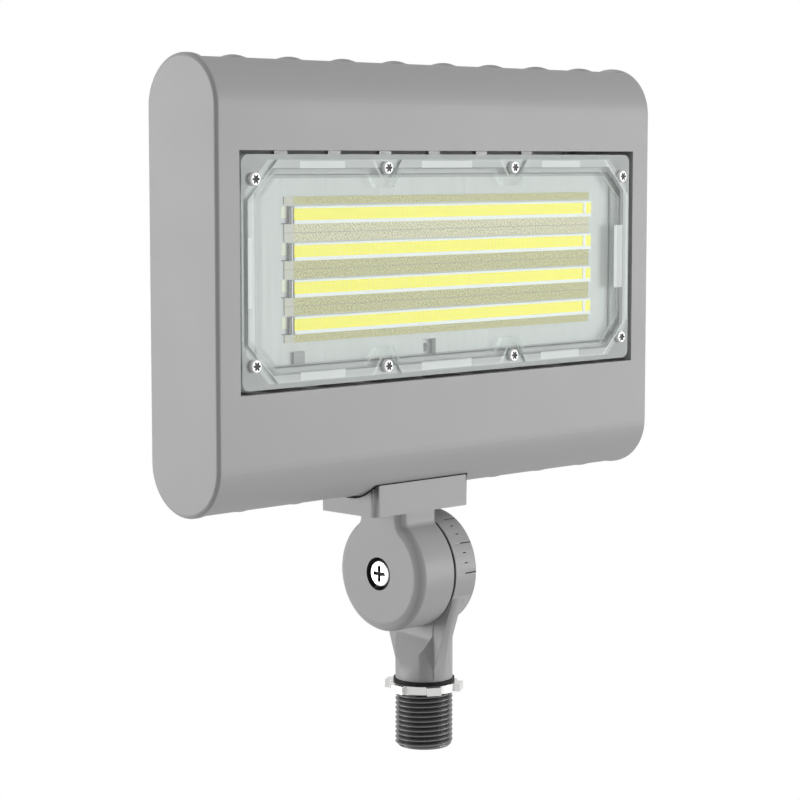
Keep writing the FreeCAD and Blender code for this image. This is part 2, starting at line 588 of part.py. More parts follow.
# The small round heads are drawn with a few flats each.
HEAD_CORNERS = 12
lens_screws = body("lens_screws", "dim.housing_x", LENS_Y, LENS_Z)
for k, (x, z) in enumerate(SCREWS):
    head = sketch(lens_screws, "head_outline_%d" % k, "XZ_Plane", x=x, y=z)
    even_polygon(head, HEAD_CORNERS, "dim.screw_head")
    pad(lens_screws, "head_%d" % k, head, "dim.screw_head_high")
    shank = sketch(lens_screws, "shank_outline_%d" % k, "XZ_Plane", x=x, y=z)
    hexagon(shank, "2 * dim.screw_radius")
    pad(lens_screws, "shank_%d" % k, shank, "dim.screw_length", back=True)
mirror(lens_screws, "left_screws", "YZ_Plane")
mirror(lens_screws, "lower_screws", "XY_Plane")

# LED board in its recess, with the rows, strips and small parts on its face.
thermal = body("thermal_pad", "dim.housing_x", "%s + dim.board_thick" % BOARD_Y, LENS_Z)
sheet = sketch(thermal, "thermal_outline", "XZ_Plane")
rectangle(sheet, RECESS_W + " - 2 * dim.thermal_in_x", RECESS_H + " - 2 * dim.thermal_in_z")
pad(thermal, "thermal_sheet", sheet, "dim.thermal_pad", back=True)

board = body("led_board", "dim.housing_x", BOARD_Y, LENS_Z)
outline = sketch(board, "board_outline", "XZ_Plane")
rectangle(outline, RECESS_W + " - 2 * dim.board_play", RECESS_H + " - 2 * dim.board_play")
pad(board, "board_plate", outline, "dim.board_thick", back=True)
notch = sketch(board, "lead_notch_outline", "XZ_Plane", x=WIRE_X,
               y="dim.grommet_rise / 2 - dim.platform_height / 2")
rectangle(notch, "dim.lead_notch", "dim.grommet_rise + dim.lead_notch")
pocket(board, "lead_notch", notch, "dim.board_thick")

grommet = body("wire_grommet", "dim.housing_x + " + WIRE_X, "%s + %s" % (PLATFORM_Y, RECESS),
               "%s + %s" % (HOUSING_Z, GROMMET_Z))
sleeve = sketch(grommet, "sleeve_outline", "XZ_Plane")
circle(sleeve, "dim.grommet_radius")
circle(sleeve, "dim.grommet_bore")
pad(grommet, "sleeve", sleeve, "dim.grommet_length", back=True)

EDGE_STRIP = "(dim.strip_in + dim.strip_edge + dim.strip_edge_gap)"
ROW_PITCH = "((%s - 2 * %s - dim.row_height) / (dim.row_count - 1))" % (RECESS_H, EDGE_STRIP)
LOW_ROW = "(dim.row_rise - (dim.row_count - 1) / 2 * %s)" % ROW_PITCH
rows = body("led_rows", "dim.housing_x + dim.row_shift", BOARD_Y, LENS_Z)
first_row = sketch(rows, "row_outline", "XZ_Plane", y=LOW_ROW)
rectangle(first_row, "dim.row_width", "dim.row_height")
pad(rows, "first_row", first_row, "dim.row_thick")
array(rows, "rows", "Z_Axis", ROW_PITCH, "dim.row_count")

bars = body("row_end_bars", "dim.housing_x + dim.row_shift", BOARD_Y, LENS_Z)
first_bar = sketch(bars, "bar_outline", "XZ_Plane",
                   x="-dim.row_width / 2 - dim.bar_gap - dim.bar_width / 2", y=LOW_ROW)
rectangle(first_bar, "dim.bar_width", "dim.row_height + dim.bar_over")
pad(bars, "first_bar", first_bar, "dim.row_thick")
array(bars, "bars", "Z_Axis", ROW_PITCH, "dim.row_count")

blocks = body("row_end_blocks", "dim.housing_x + dim.row_shift", BOARD_Y, LENS_Z)
first_block = sketch(blocks, "end_block_outline", "XZ_Plane",
                     x="dim.row_width / 2 + dim.block_gap + dim.block_long / 2", y=LOW_ROW)
rectangle(first_block, "dim.block_long", "dim.row_height")
pad(blocks, "first_block", first_block, "dim.row_thick")
array(blocks, "blocks", "Z_Axis", ROW_PITCH, "dim.row_count")

strips = body("board_strips", "dim.housing_x + dim.row_shift", BOARD_Y, LENS_Z)
first_strip = sketch(strips, "strip_outline", "XZ_Plane", y="%s + %s / 2" % (LOW_ROW, ROW_PITCH))
rectangle(first_strip, "dim.strip_width", ROW_PITCH + " - dim.row_height - 2 * dim.strip_gap")
pad(strips, "first_strip", first_strip, "dim.strip_thick")
array(strips, "inner_strips", "Z_Axis", ROW_PITCH, "dim.row_count - 1")
for k, side in enumerate(("", "-")):
    level = "dim.row_rise + %s(%s / 2 - dim.strip_in - dim.strip_edge / 2)" % (side, RECESS_H)
    edge_strip = sketch(strips, "edge_strip_outline_%d" % k, "XZ_Plane", y=level)
    rectangle(edge_strip, "dim.strip_width", "dim.strip_edge")
    pad(strips, "edge_strip_%d" % k, edge_strip, "dim.strip_thick")

chip = body("rectifier", "dim.housing_x - %s / 2 + dim.chip_in" % RECESS_W, BOARD_Y,
            "%s - %s / 2 + dim.chip_rise" % (LENS_Z, RECESS_H))
chip_outline = sketch(chip, "chip_outline", "XZ_Plane")
rectangle(chip_outline, "dim.chip_side", "dim.chip_high")
pad(chip, "chip_body", chip_outline, "dim.chip_thick")

# Upper knuckle: disc, neck and saddle block in one casting.
upper = body("upper_knuckle", DISC_X, "0", PIVOT_Z)
upper_round = sketch(upper, "upper_disc_outline", "YZ_Plane")
circle(upper_round, "dim.disc_radius")
pad(upper, "upper_disc", upper_round, "dim.upper_disc", middle=True)
neck = sketch(upper, "neck_outline", "YZ_Plane", y="(dim.block_rise + dim.overlap) / 2")
rectangle(neck, "dim.neck_depth", "dim.block_rise + dim.overlap")
pad(upper, "neck", neck, "dim.upper_disc", middle=True)
half_neck = number("dim.neck_depth / 2")
neck_top = number("dim.block_rise + dim.overlap")


def neck_crease(edge):
    box = edge.BoundBox
    return runs_along(edge, "X") and abs(abs(box.YMin) - half_neck) < NEAR and box.ZMax < neck_top - NEAR


round_edges(upper, "neck_creases", neck_crease, "dim.neck_fillet")
left_face = -number("dim.upper_disc / 2")


def outer_rim(edge):
    return at_x(edge, left_face) and edge.BoundBox.ZMin < neck_top - NEAR


# The outer rounding is two flats tangent to it, at a third and two thirds of its quarter turn.
outer_bevel = bevel_edges(upper, "outer_bevel", outer_rim, "(1 - tan(15 deg)) * dim.upper_round")
outer_bevel.ChamferType = "Two distances"
outer_bevel.setExpression("Size2", "(1 - tan(15 deg)) * tan(30 deg) * dim.upper_round")
doc.recompute()
bevel_edges(upper, "outer_rounding", outer_rim, "2 * tan(15 deg) / sqrt(3) * dim.upper_round")
foot = sketch(upper, "block_outline", "XY_Plane", z="dim.block_rise")
rectangle(foot, "dim.block_width", "dim.block_depth")
pad(upper, "block", foot, "dim.block_top - dim.block_rise")
half_block = number("dim.block_width / 2")


def block_corner(edge):
    return runs_along(edge, "Z") and abs(abs(edge.BoundBox.XMin) - half_block) < NEAR


round_edges(upper, "block_corners", block_corner, "dim.block_round")
seat = sketch(upper, "saddle_outline", "YZ_Plane")
circle(seat, ROUND + " + dim.saddle_gasket", "dim.housing_y", SADDLE_Z)
pocket(upper, "saddle", seat, "dim.block_width + dim.cut_over", middle=True)
sink = sketch(upper, "head_recess_outline", "YZ_Plane", z="-dim.upper_disc / 2")
circle(sink, "dim.head_recess")
pocket(upper, "head_recess", sink, "dim.head_recess_depth", back=True)
bore = sketch(upper, "pivot_bore_outline", "YZ_Plane")
circle(bore, "dim.pivot_radius + dim.pivot_clear")
pocket(upper, "pivot_bore", bore, "dim.upper_disc + dim.cut_over", middle=True)
cavity = sketch(upper, "upper_cavity_outline", "YZ_Plane", z="dim.upper_disc / 2")
circle(cavity, "dim.cavity_outer")
circle(cavity, "dim.cavity_inner")
pocket(upper, "wire_cavity", cavity, "dim.upper_cavity")
riser = sketch(upper, "riser_outline", "XY_Plane", z="dim.block_top")
circle(riser, "dim.wire_way", "dim.wire_shift", "0")
pocket(upper, "wire_riser", riser, "dim.block_top - dim.cavity_outer + dim.overlap")
shanks = sketch(upper, "bolt_outline", "XY_Plane", z="dim.block_rise")
sinks = sketch(upper, "bolt_sink_outline", "XY_Plane", z="dim.block_rise")
knuckle_screw_holes(shanks)
for side in ("", "-"):
    circle(sinks, "dim.bolt_flats / sqrt(3) + 2 * dim.bolt_clear", side + "dim.bolt_x")
pocket(upper, "bolt_holes", shanks, "dim.block_top - dim.block_rise", back=True)
pocket(upper, "bolt_sinks", sinks, "dim.bolt_sink", back=True)

# Gasket that fills the saddle between block and housing.
saddle_gasket = body("knuckle_gasket", DISC_X, "0", PIVOT_Z)
pressed = sketch(saddle_gasket, "saddle_plan", "XY_Plane", z="dim.block_rise")
rectangle(pressed, "dim.block_width - 2 * dim.saddle_inset", "dim.block_depth - 2 * dim.saddle_inset")
pad(saddle_gasket, "saddle_sheet", pressed, "dim.block_top - dim.block_rise")
above = sketch(saddle_gasket, "housing_side", "YZ_Plane")
circle(above, ROUND + " + dim.saddle_play", "dim.housing_y", SADDLE_Z)
pocket(saddle_gasket, "housing_face", above, "dim.block_width + dim.cut_over", middle=True)
below = sketch(saddle_gasket, "block_side", "YZ_Plane")
circle(below, ROUND + " + dim.block_top - dim.block_rise", "dim.housing_y", SADDLE_Z)
circle(below, ROUND + " + dim.saddle_gasket - dim.saddle_play", "dim.housing_y", SADDLE_Z)
pocket(saddle_gasket, "block_face", below, "dim.block_width + dim.cut_over", middle=True)
openings = sketch(saddle_gasket, "gasket_openings", "XY_Plane", z="dim.block_top")
circle(openings, "dim.wire_way", "dim.wire_shift", "0")
knuckle_screw_holes(openings)
pocket(saddle_gasket, "openings", openings, "dim.block_top")

knuckle_screws = body("knuckle_screws", DISC_X, "0", PIVOT_Z + " + dim.block_rise + dim.bolt_sink")
bolt_head = sketch(knuckle_screws, "bolt_head_outline", "XY_Plane", x="dim.bolt_x")
hexagon(bolt_head, "dim.bolt_flats")
pad(knuckle_screws, "bolt_head", bolt_head, "dim.bolt_head_high", back=True)
bolt_shank = sketch(knuckle_screws, "bolt_shank_outline", "XY_Plane", x="dim.bolt_x")
hexagon(bolt_shank, "2 * dim.bolt_radius")
pad(knuckle_screws, "bolt_shank", bolt_shank, "dim.bolt_length")
mirror(knuckle_screws, "left_bolt", "YZ_Plane")

# Pivot: screw and nut on the tilt axis, with the seal between the two discs.
joint_seal = body("joint_seal", "-dim.joint_face - dim.seal_thick", "0", PIVOT_Z)
seal = sketch(joint_seal, "seal_outline", "YZ_Plane")
circle(seal, "dim.disc_radius - dim.seal_rim")
circle(seal, "dim.seal_inner")
pad(joint_seal, "seal_ring", seal, "dim.seal_thick")

along_x = FreeCAD.Rotation(Vec(0, 1, 0), 90)
UNDER_HEAD = "(%s - dim.upper_disc / 2 + dim.head_recess_depth - dim.head_gap)" % DISC_X
NUT_END = "(dim.lower_disc - dim.joint_face - dim.nut_sink)"
pivot_screw = body("pivot_screw", UNDER_HEAD, "0", PIVOT_Z, along_x)
spindle = sketch(pivot_screw, "spindle_profile", "XZ_Plane")
SHANK_END = "(%s - %s)" % (NUT_END, UNDER_HEAD)
polygon(spindle, [("0", "-dim.pivot_head_high"), ("dim.pivot_head", "-dim.pivot_head_high"),
                  ("dim.pivot_head", "0"), ("dim.pivot_radius", "0"), ("dim.pivot_radius", SHANK_END),
                  ("0", SHANK_END)])
revolve(pivot_screw, "spindle", spindle)

nut = body("pivot_nut", NUT_END, "0", PIVOT_Z)
hexa = sketch(nut, "nut_outline", "YZ_Plane")
hexagon(hexa, "dim.nut_flats")
circle(hexa, "dim.pivot_radius + dim.nut_thread")
pad(nut, "nut_body", hexa, "dim.nut_high", back=True)

# Lower knuckle: stem, tangent web and disc in one casting, faceted beside the joint.
lower = body("lower_knuckle", z=SEAT_Z)
stem = sketch(lower, "stem_outline", "XY_Plane")
circle(stem, "dim.stem_radius")
pad(lower, "stem", stem, "dim.stem_top")
disc = sketch(lower, "lower_disc_outline", "YZ_Plane", y="dim.pivot_height", z="-dim.joint_face")
circle(disc, "dim.disc_radius")
pad(lower, "lower_disc", disc, "dim.lower_disc")
right_face = number("dim.lower_disc - dim.joint_face")
disc_r = number("dim.disc_radius")


def lower_rim(edge):
    return at_x(edge, right_face) and abs(getattr(edge.Curve, "Radius", 0) - disc_r) < NEAR


bevel_edges(lower, "lower_rim", lower_rim, "dim.lower_bevel")

web = sketch(lower, "web_outline", "YZ_Plane", z="-dim.web_face")
web_r = number("dim.disc_radius - dim.web_inset")
foot_y = number("dim.web_foot")
foot_z = number("dim.web_base - dim.pivot_height")
reach = math.hypot(foot_y, foot_z)
lean = math.atan2(foot_z, foot_y) + math.acos(web_r / reach)
centre = Vec(0, number("dim.pivot_height"), 0)
touch_right = centre + Vec(web_r * math.cos(lean), web_r * math.sin(lean), 0)
touch_left = centre + Vec(-web_r * math.cos(lean), web_r * math.sin(lean), 0)
foot_right = centre + Vec(foot_y, foot_z, 0)
foot_left = centre + Vec(-foot_y, foot_z, 0)
web.addGeometry(Part.LineSegment(foot_right, touch_right), False)
web.addGeometry(Part.ArcOfCircle(Part.Circle(centre, axis, web_r), lean, math.pi - lean), False)
web.addGeometry(Part.LineSegment(touch_left, foot_left), False)
web.addGeometry(Part.LineSegment(foot_left, foot_right), False)
join(web, "Tangent", 0, 2, 1, 1)
join(web, "Tangent", 1, 2, 2, 1)
join(web, "Coincident", 2, 2, 3, 1)
join(web, "Coincident", 3, 2, 0, 1)
join(web, "PointOnObject", 1, 3, -2)
tie(web, "dim.disc_radius - dim.web_inset", "Radius", 1)
tie(web, "dim.pivot_height", "DistanceY", -1, 1, 1, 3)
tie(web, "dim.web_foot", "DistanceX", -1, 1, 0, 1)
tie(web, "dim.web_base", "DistanceY", -1, 1, 0, 1)
tie(web, "-dim.web_foot", "DistanceX", -1, 1, 3, 1)
tie(web, "dim.web_base", "DistanceY", -1, 1, 3, 1)
pad(lower, "web", web, "dim.web_thick")

FACET_SLOPE = "(dim.facet_top - dim.facet_base) / (dim.stem_radius - dim.joint_face)"
facet = sketch(lower, "facet_outline", "XZ_Plane")
polygon(facet, [("-dim.joint_face", "dim.facet_top"), ("-dim.joint_face", "dim.stem_top + dim.cut_over"),
                ("-dim.stem_radius - dim.cut_over", "dim.stem_top + dim.cut_over"),
                ("-dim.stem_radius - dim.cut_over", "dim.facet_base - dim.cut_over * " + FACET_SLOPE)])
pocket(lower, "facet", facet, "2 * (dim.stem_radius + dim.cut_over)", middle=True)
RIGHT_X = "(dim.lower_disc - dim.joint_face)"
SHOULDER_SLOPE = "(dim.shoulder_top - dim.shoulder_base) / (dim.stem_radius - %s)" % RIGHT_X
shoulder = sketch(lower, "shoulder_outline", "XZ_Plane")
SHOULDER_END = "dim.shoulder_base - dim.cut_over * " + SHOULDER_SLOPE
polygon(shoulder, [(RIGHT_X, "dim.shoulder_top"), (RIGHT_X, "dim.stem_top + dim.cut_over"),
                   ("dim.stem_radius + dim.cut_over", "dim.stem_top + dim.cut_over"),
                   ("dim.stem_radius + dim.cut_over", SHOULDER_END)])
pocket(lower, "shoulder", shoulder, "2 * (dim.stem_radius + dim.cut_over)", middle=True)
socket = sketch(lower, "socket_outline", "XY_Plane")
circle(socket, "dim.spigot_radius + dim.spigot_clear")
pocket(lower, "nipple_socket", socket, "dim.spigot_length", back=True)
PORT_Z = "(dim.pivot_height - (dim.cavity_outer + dim.cavity_inner) / 2)"
rise_way = sketch(lower, "stem_bore_outline", "XY_Plane")
circle(rise_way, "dim.stem_bore")
pocket(lower, "stem_bore", rise_way, PORT_Z, back=True)
port = sketch(lower, "port_outline", "YZ_Plane", y=PORT_Z, z="-dim.joint_face")
circle(port, "dim.port_radius")
pocket(lower, "wire_port", port, "dim.joint_face + dim.port_radius", back=True)
pin_hole = sketch(lower, "pin_hole_outline", "YZ_Plane", y="dim.pivot_height")
circle(pin_hole, "dim.pivot_radius + dim.pivot_clear")
pocket(lower, "pin_hole", pin_hole, "2 * (dim.lower_disc + dim.cut_over)", middle=True)
nut_seat = sketch(lower, "nut_seat_outline", "YZ_Plane", y="dim.pivot_height", z=RIGHT_X)
hexagon(nut_seat, "dim.nut_flats + 2 * dim.nut_clear")
pocket(lower, "nut_seat", nut_seat, "dim.nut_high + dim.nut_sink")

# Threaded nipple, its gasket and the conduit locknut.
nipple = body("threaded_nipple", z=SEAT_Z)
tube = sketch(nipple, "tube_profile", "XZ_Plane")
polygon(tube, [("dim.nipple_bore", "-dim.nipple_length"),
               ("dim.thread_radius - dim.nipple_chamfer", "-dim.nipple_length"),
               ("dim.thread_radius", "dim.nipple_chamfer - dim.nipple_length"),
               ("dim.thread_radius", "-dim.relief_length"), ("dim.relief_radius", "-dim.relief_length"),
               ("dim.relief_radius", "0"), ("dim.spigot_radius", "0"),
               ("dim.spigot_radius", "dim.spigot_length"), ("dim.nipple_bore", "dim.spigot_length")])
revolve(nipple, "tube", tube)

stem_gasket = body("stem_gasket", z=SEAT_Z)
ring_outline = sketch(stem_gasket, "ring_outline", "XY_Plane")
circle(ring_outline, "dim.seal_ring_radius")
circle(ring_outline, "dim.thread_radius + dim.thread_clear")
pad(stem_gasket, "ring", ring_outline, "dim.seal_ring", back=True)

locknut = body("locknut", z=SEAT_Z + " - dim.seal_ring - dim.locknut_gap")
nut_ring = sketch(locknut, "nut_ring_outline", "XY_Plane")
circle(nut_ring, "dim.locknut_radius")
pad(locknut, "nut_ring", nut_ring, "dim.locknut_thick", back=True)
lug = sketch(locknut, "lug_outline", "XY_Plane", x="dim.lug_radius / 2")
rectangle(lug, "dim.lug_radius", "dim.lug_width")
lug_pad = pad(locknut, "lug", lug, "dim.locknut_thick", back=True)
lugs = locknut.newObject("PartDesign::PolarPattern", "lugs")
lugs.Originals = [lug_pad]
lugs.Axis = (base(locknut, "Z_Axis"), [""])
lugs.Angle = 360.0
lugs.setExpression("Occurrences", "dim.lug_count")
locknut.Tip = lugs
doc.recompute()
eye = sketch(locknut, "eye_outline", "XY_Plane")
circle(eye, "dim.thread_radius + dim.thread_clear")
pocket(locknut, "eye", eye, "dim.locknut_thick + dim.cut_over")

doc.recompute()
pieces = [housing, lens, lens_gasket, lens_screws, thermal, board, grommet, rows, bars, blocks, strips, chip,
          upper, saddle_gasket, knuckle_screws, joint_seal, pivot_screw, nut, lower, nipple,
          stem_gasket, locknut]
for item in doc.Objects:
    if "Invalid" in item.State or "Error" in item.State:
        raise RuntimeError("%s did not build" % item.Name)
os.makedirs("parts", exist_ok=True)
for piece in pieces:
    shape = piece.Shape
    if shape.isNull() or not shape.isValid() or not shape.Solids:
        raise RuntimeError("%s has no valid solid" % piece.Label)
    shape.exportStep("parts/%s.step" % piece.Label)
    box = shape.BoundBox
    print("%-16s solids %d  volume %9.1f  x %7.2f %7.2f  y %7.2f %7.2f  z %7.2f %7.2f" % (
        piece.Label, len(shape.Solids), shape.Volume,
        box.XMin, box.XMax, box.YMin, box.YMax, box.ZMin, box.ZMax))
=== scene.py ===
import math

import bmesh
import bpy
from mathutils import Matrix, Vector


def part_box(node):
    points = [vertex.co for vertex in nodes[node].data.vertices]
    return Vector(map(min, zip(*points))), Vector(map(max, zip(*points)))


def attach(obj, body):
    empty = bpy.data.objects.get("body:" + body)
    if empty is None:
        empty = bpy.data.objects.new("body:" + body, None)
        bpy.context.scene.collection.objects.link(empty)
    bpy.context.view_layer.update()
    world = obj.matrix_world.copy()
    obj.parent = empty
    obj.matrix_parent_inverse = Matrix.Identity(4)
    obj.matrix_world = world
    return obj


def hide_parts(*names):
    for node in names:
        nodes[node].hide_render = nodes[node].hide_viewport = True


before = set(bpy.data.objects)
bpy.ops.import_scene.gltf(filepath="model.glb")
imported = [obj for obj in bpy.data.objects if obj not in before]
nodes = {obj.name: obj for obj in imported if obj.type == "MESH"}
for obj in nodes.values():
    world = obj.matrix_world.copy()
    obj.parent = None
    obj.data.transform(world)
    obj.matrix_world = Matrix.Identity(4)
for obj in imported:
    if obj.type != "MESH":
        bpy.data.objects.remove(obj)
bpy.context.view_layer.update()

# Camera and studio. The lamp is seen from its left end and a little above, against plain white, with a
# large soft lamp on either side and a weak one above, so faces turned to the camera stay darker.
CAMERA_PLACE = (-0.61864, -0.60778, 0.19612)
CAMERA_DIP = 5.804
CAMERA_HEADING = -44.917
FOCAL_LENGTH = 106.47
SENSOR_WIDTH = 36
NEAR_CLIP = 0.01
LAMP_TARGET = (0, 0, 0.12)
LAMP_SIZE = 1.3
LAMPS = {
    "left lamp": ((-2.1, 1.95, 0.0), 62),
    "right lamp": ((1.95, -2.1, 0.0), 64),
    "top lamp": ((-0.5, -0.3, 1.9), 6)}
ROOM_LIGHT = 0.24
FLOOR_SIZE = 12
FLOOR_LEVEL = -0.35
WHITE = (1, 1, 1, 1)

scene = bpy.context.scene
scene.view_settings.view_transform = "Standard"
camera = bpy.data.objects.new("camera", bpy.data.cameras.new("camera"))
scene.collection.objects.link(camera)
camera.location = CAMERA_PLACE
camera.rotation_euler = (math.radians(90 - CAMERA_DIP), 0, math.radians(CAMERA_HEADING))
camera.data.sensor_width = SENSOR_WIDTH
camera.data.lens = FOCAL_LENGTH
camera.data.clip_start = NEAR_CLIP
scene.camera = camera

for name, (place, power) in LAMPS.items():
    lamp = bpy.data.objects.new(name, bpy.data.lights.new(name, "AREA"))
    scene.collection.objects.link(lamp)
    lamp.location = place
    lamp.rotation_euler = (Vector(LAMP_TARGET) - Vector(place)).to_track_quat("-Z", "Y").to_euler()
    lamp.data.shape = "SQUARE"
    lamp.data.size = LAMP_SIZE
    lamp.data.energy = power


class Shade:
    """One socket of a node tree; Python's operators on it add the Math nodes."""

    def __init__(self, tree, socket=None):
        self.tree = tree
        self.socket = socket

    def node(self, kind, settings=(), sockets=(), out=0):
        """Adds a node with those settings, and with those values or links in its sockets."""
        made = self.tree.nodes.new("ShaderNode" + kind)
        for name, value in dict(settings).items():
            setattr(made, name, value)
        for key, value in dict(sockets).items():
            if isinstance(value, Shade):
                self.tree.links.new(value.socket, made.inputs[key])
            else:
                made.inputs[key].default_value = value
        return Shade(self.tree, made.outputs[out] if made.outputs else None)

    def output(self, name):
        """Another output of the same node."""
        return Shade(self.tree, self.socket.node.outputs[name])

    def maths(self, operation, first, second=0.0):
        return self.node("Math", {"operation": operation}, {0: first, 1: second})

    def mix(self, share, first, second, kind="MIX"):
        """The first colour with that share of the second."""
        settings = {"data_type": "RGBA", "blend_type": kind}
        return self.node("Mix", settings, {0: share, 6: first, 7: second}, out=2)

    def __add__(self, other):
        return self.maths("ADD", self, other)

    def __radd__(self, other):
        return self.maths("ADD", other, self)

    def __sub__(self, other):
        return self.maths("SUBTRACT", self, other)

    def __rsub__(self, other):
        return self.maths("SUBTRACT", other, self)

    def __mul__(self, other):
        return self.maths("MULTIPLY", self, other)

    def __rmul__(self, other):
        return self.maths("MULTIPLY", other, self)

    def __lt__(self, other):
        return self.maths("LESS_THAN", self, other)

    def __gt__(self, other):
        return self.maths("GREATER_THAN", self, other)

    def __abs__(self):
        return self.maths("ABSOLUTE", self)

    def __mod__(self, other):
        return self.maths("FLOORED_MODULO", self, other)


def white_behind(tree, lit, white):
    """The shader lit, but white where the camera, a reflection or glass looks straight at it."""
    path = tree.node("LightPath", out="Is Camera Ray")
    seen = tree.maths("MAXIMUM", path, path.output("Is Glossy Ray"))
    seen = tree.maths("MAXIMUM", seen, path.output("Is Transmission Ray"))
    return tree.node("MixShader", {}, {0: seen, 1: lit, 2: white})


def new_material(name):
    """An empty material and its node tree."""
    material = bpy.data.materials.new(name)
    material.use_nodes = True
    material.node_tree.nodes.clear()
    return material, Shade(material.node_tree)


world = bpy.data.worlds.new("studio")
scene.world = world
world.use_nodes = True
world.node_tree.nodes.clear()
sky = Shade(world.node_tree)
room = sky.node("Background", {}, {"Color": WHITE, "Strength": ROOM_LIGHT})
backdrop = sky.node("Background", {}, {"Color": WHITE, "Strength": 1.0})
sky.node("OutputWorld", {}, {"Surface": white_behind(sky, room, backdrop)})

bpy.ops.object.select_all(action="DESELECT")
bpy.ops.mesh.primitive_plane_add(size=FLOOR_SIZE, location=(0, 0, FLOOR_LEVEL))
floor = bpy.context.object
floor.name = "floor"
paper, tree = new_material("white paper")
matt = tree.node("BsdfDiffuse", {}, {"Color": (0.8, 0.8, 0.8, 1)})
glow = tree.node("Emission", {}, {"Color": WHITE, "Strength": 1.0})
tree.node("OutputMaterial", {}, {"Surface": white_behind(tree, matt, glow)})
floor.data.materials.append(paper)

# Threaded nipple: a dark bare-metal tube with half-inch straight pipe thread, 14 turns to the inch,
# pressed into the stem. The thread is cut as one helical groove into a copy of the plain tube.
MM = 0.001
MICRON = 1e-6
FLAT_WITHIN = 0.5
THREAD_PITCH = 1.814 * MM
THREAD_DEPTH = 1.2 * MM
THREAD_TURNS = 15
THREAD_STEPS = 36
THREAD_LOW = -23.382 * MM
GROOVE_OUT = 0.25 * MM
TRIANGLE_HIGH = 1.5


def corners(node):
    """A CAD node's lowest and highest corners."""
    return [Vector(corner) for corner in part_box(node)]


def choose(piece):
    """That piece alone, selected and active."""
    bpy.ops.object.select_all(action="DESELECT")
    piece.select_set(True)
    bpy.context.view_layer.objects.active = piece


def edit(piece):
    """That piece alone, in edit mode, with all of it selected."""
    choose(piece)
    bpy.ops.object.mode_set(mode="EDIT")
    bpy.ops.mesh.select_all(action="SELECT")


def add(primitive, **settings):
    """A new primitive, alone in the selection, with its place, turn and scale put into its mesh."""
    bpy.ops.object.select_all(action="DESELECT")
    primitive(**settings)
    bpy.ops.object.transform_apply(location=True, rotation=True, scale=True)
    return bpy.context.object


def merged_copy(node, name):
    """A copy of a CAD node with its triangles joined and its flat areas made single faces."""
    mesh = nodes[node].data.copy()
    mesh.transform(nodes[node].matrix_world)
    mesh.materials.clear()
    piece = bpy.data.objects.new(name, mesh)
    scene.collection.objects.link(piece)
    edit(piece)
    bpy.ops.mesh.remove_doubles(threshold=MICRON)
    bpy.ops.mesh.dissolve_limited(angle_limit=math.radians(FLAT_WITHIN))
    bpy.ops.object.mode_set(mode="OBJECT")
    return piece


def apply_modifier(piece, kind, **settings):
    choose(piece)
    modifier = piece.modifiers.new(kind.lower(), kind)
    for name, value in settings.items():
        setattr(modifier, name, value)
    bpy.ops.object.modifier_apply(modifier=modifier.name)


def combine(piece, other, operation):
    """Cuts the other piece away (DIFFERENCE) or takes it in (UNION), and removes it."""
    apply_modifier(piece, "BOOLEAN", object=other, operation=operation, solver="EXACT")
    bpy.data.objects.remove(other)


def soften(piece, angle=32):
    """Smooth shading across shallow edges, with large flat faces left flat."""
    choose(piece)
    bpy.ops.object.shade_smooth_by_angle(angle=math.radians(angle))
    apply_modifier(piece, "WEIGHTED_NORMAL", mode="FACE_AREA", keep_sharp=True)


def fit(piece, body, node, slot, *materials):
    """The piece stands for that CAD node, rides on its body and wears those materials."""
    for material in materials:
        piece.data.materials.append(material)
    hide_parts(node)
    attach(piece, body)


def two_tones(colour, drift):
    """A colour made darker and paler by that share."""
    return [(*[min(1, c * (1 + turn)) for c in colour], 1) for turn in (-drift, drift)]


def finish(name, colour, roughness, metallic=0.0, mottle=0.04, scale=300.0, bump=0.03, shine=0.5):
    """A moulded, painted or plated finish: the colour varies by mottle, with a fine bump of that pattern."""
    spread = 0.06
    material, tree = new_material(name)
    spot = tree.node("TexCoord", out="Object")
    speck = tree.node("TexNoise", {}, {"Vector": spot, "Scale": scale, "Detail": 3.0})
    relief = tree.node("Bump", {}, {"Strength": bump, "Distance": 0.1 * MM, "Height": speck})
    skin = tree.node("BsdfPrincipled", {}, {
        "Base Color": tree.mix(speck, *two_tones(colour, mottle)),
        "Roughness": roughness - spread + 2 * spread * speck, "Metallic": metallic,
        "Specular IOR Level": shine, "Normal": relief})
    tree.node("OutputMaterial", {}, {"Surface": skin})
    return material


thread_radius = corners("threaded_nipple")[1].x
cutter_radius = (THREAD_DEPTH + GROOVE_OUT) / TRIANGLE_HIGH
nipple = merged_copy("threaded_nipple", "thread")
groove = add(
    bpy.ops.mesh.primitive_circle_add, vertices=3, radius=cutter_radius, fill_type="NOTHING",
    location=(thread_radius - THREAD_DEPTH + cutter_radius, 0, THREAD_LOW),
    rotation=(math.radians(90), math.radians(-90), 0))
apply_modifier(
    groove, "SCREW", axis="Z", angle=2 * math.pi, steps=THREAD_STEPS, render_steps=THREAD_STEPS,
    screw_offset=THREAD_PITCH, iterations=THREAD_TURNS, use_normal_calculate=True)
edit(groove)
bpy.ops.mesh.remove_doubles(threshold=0.1 * MICRON)
bpy.ops.mesh.select_all(action="SELECT")
bpy.ops.mesh.fill_holes(sides=3)
bpy.ops.mesh.select_all(action="SELECT")
bpy.ops.mesh.normals_make_consistent(inside=False)
bpy.ops.object.mode_set(mode="OBJECT")
combine(nipple, groove, "DIFFERENCE")
soften(nipple)
fit(nipple, "base", "threaded_nipple", "bare_thread",
    finish("dark bare thread", (0.17, 0.17, 0.17), 0.36, 1.0, mottle=0.15, scale=700.0))

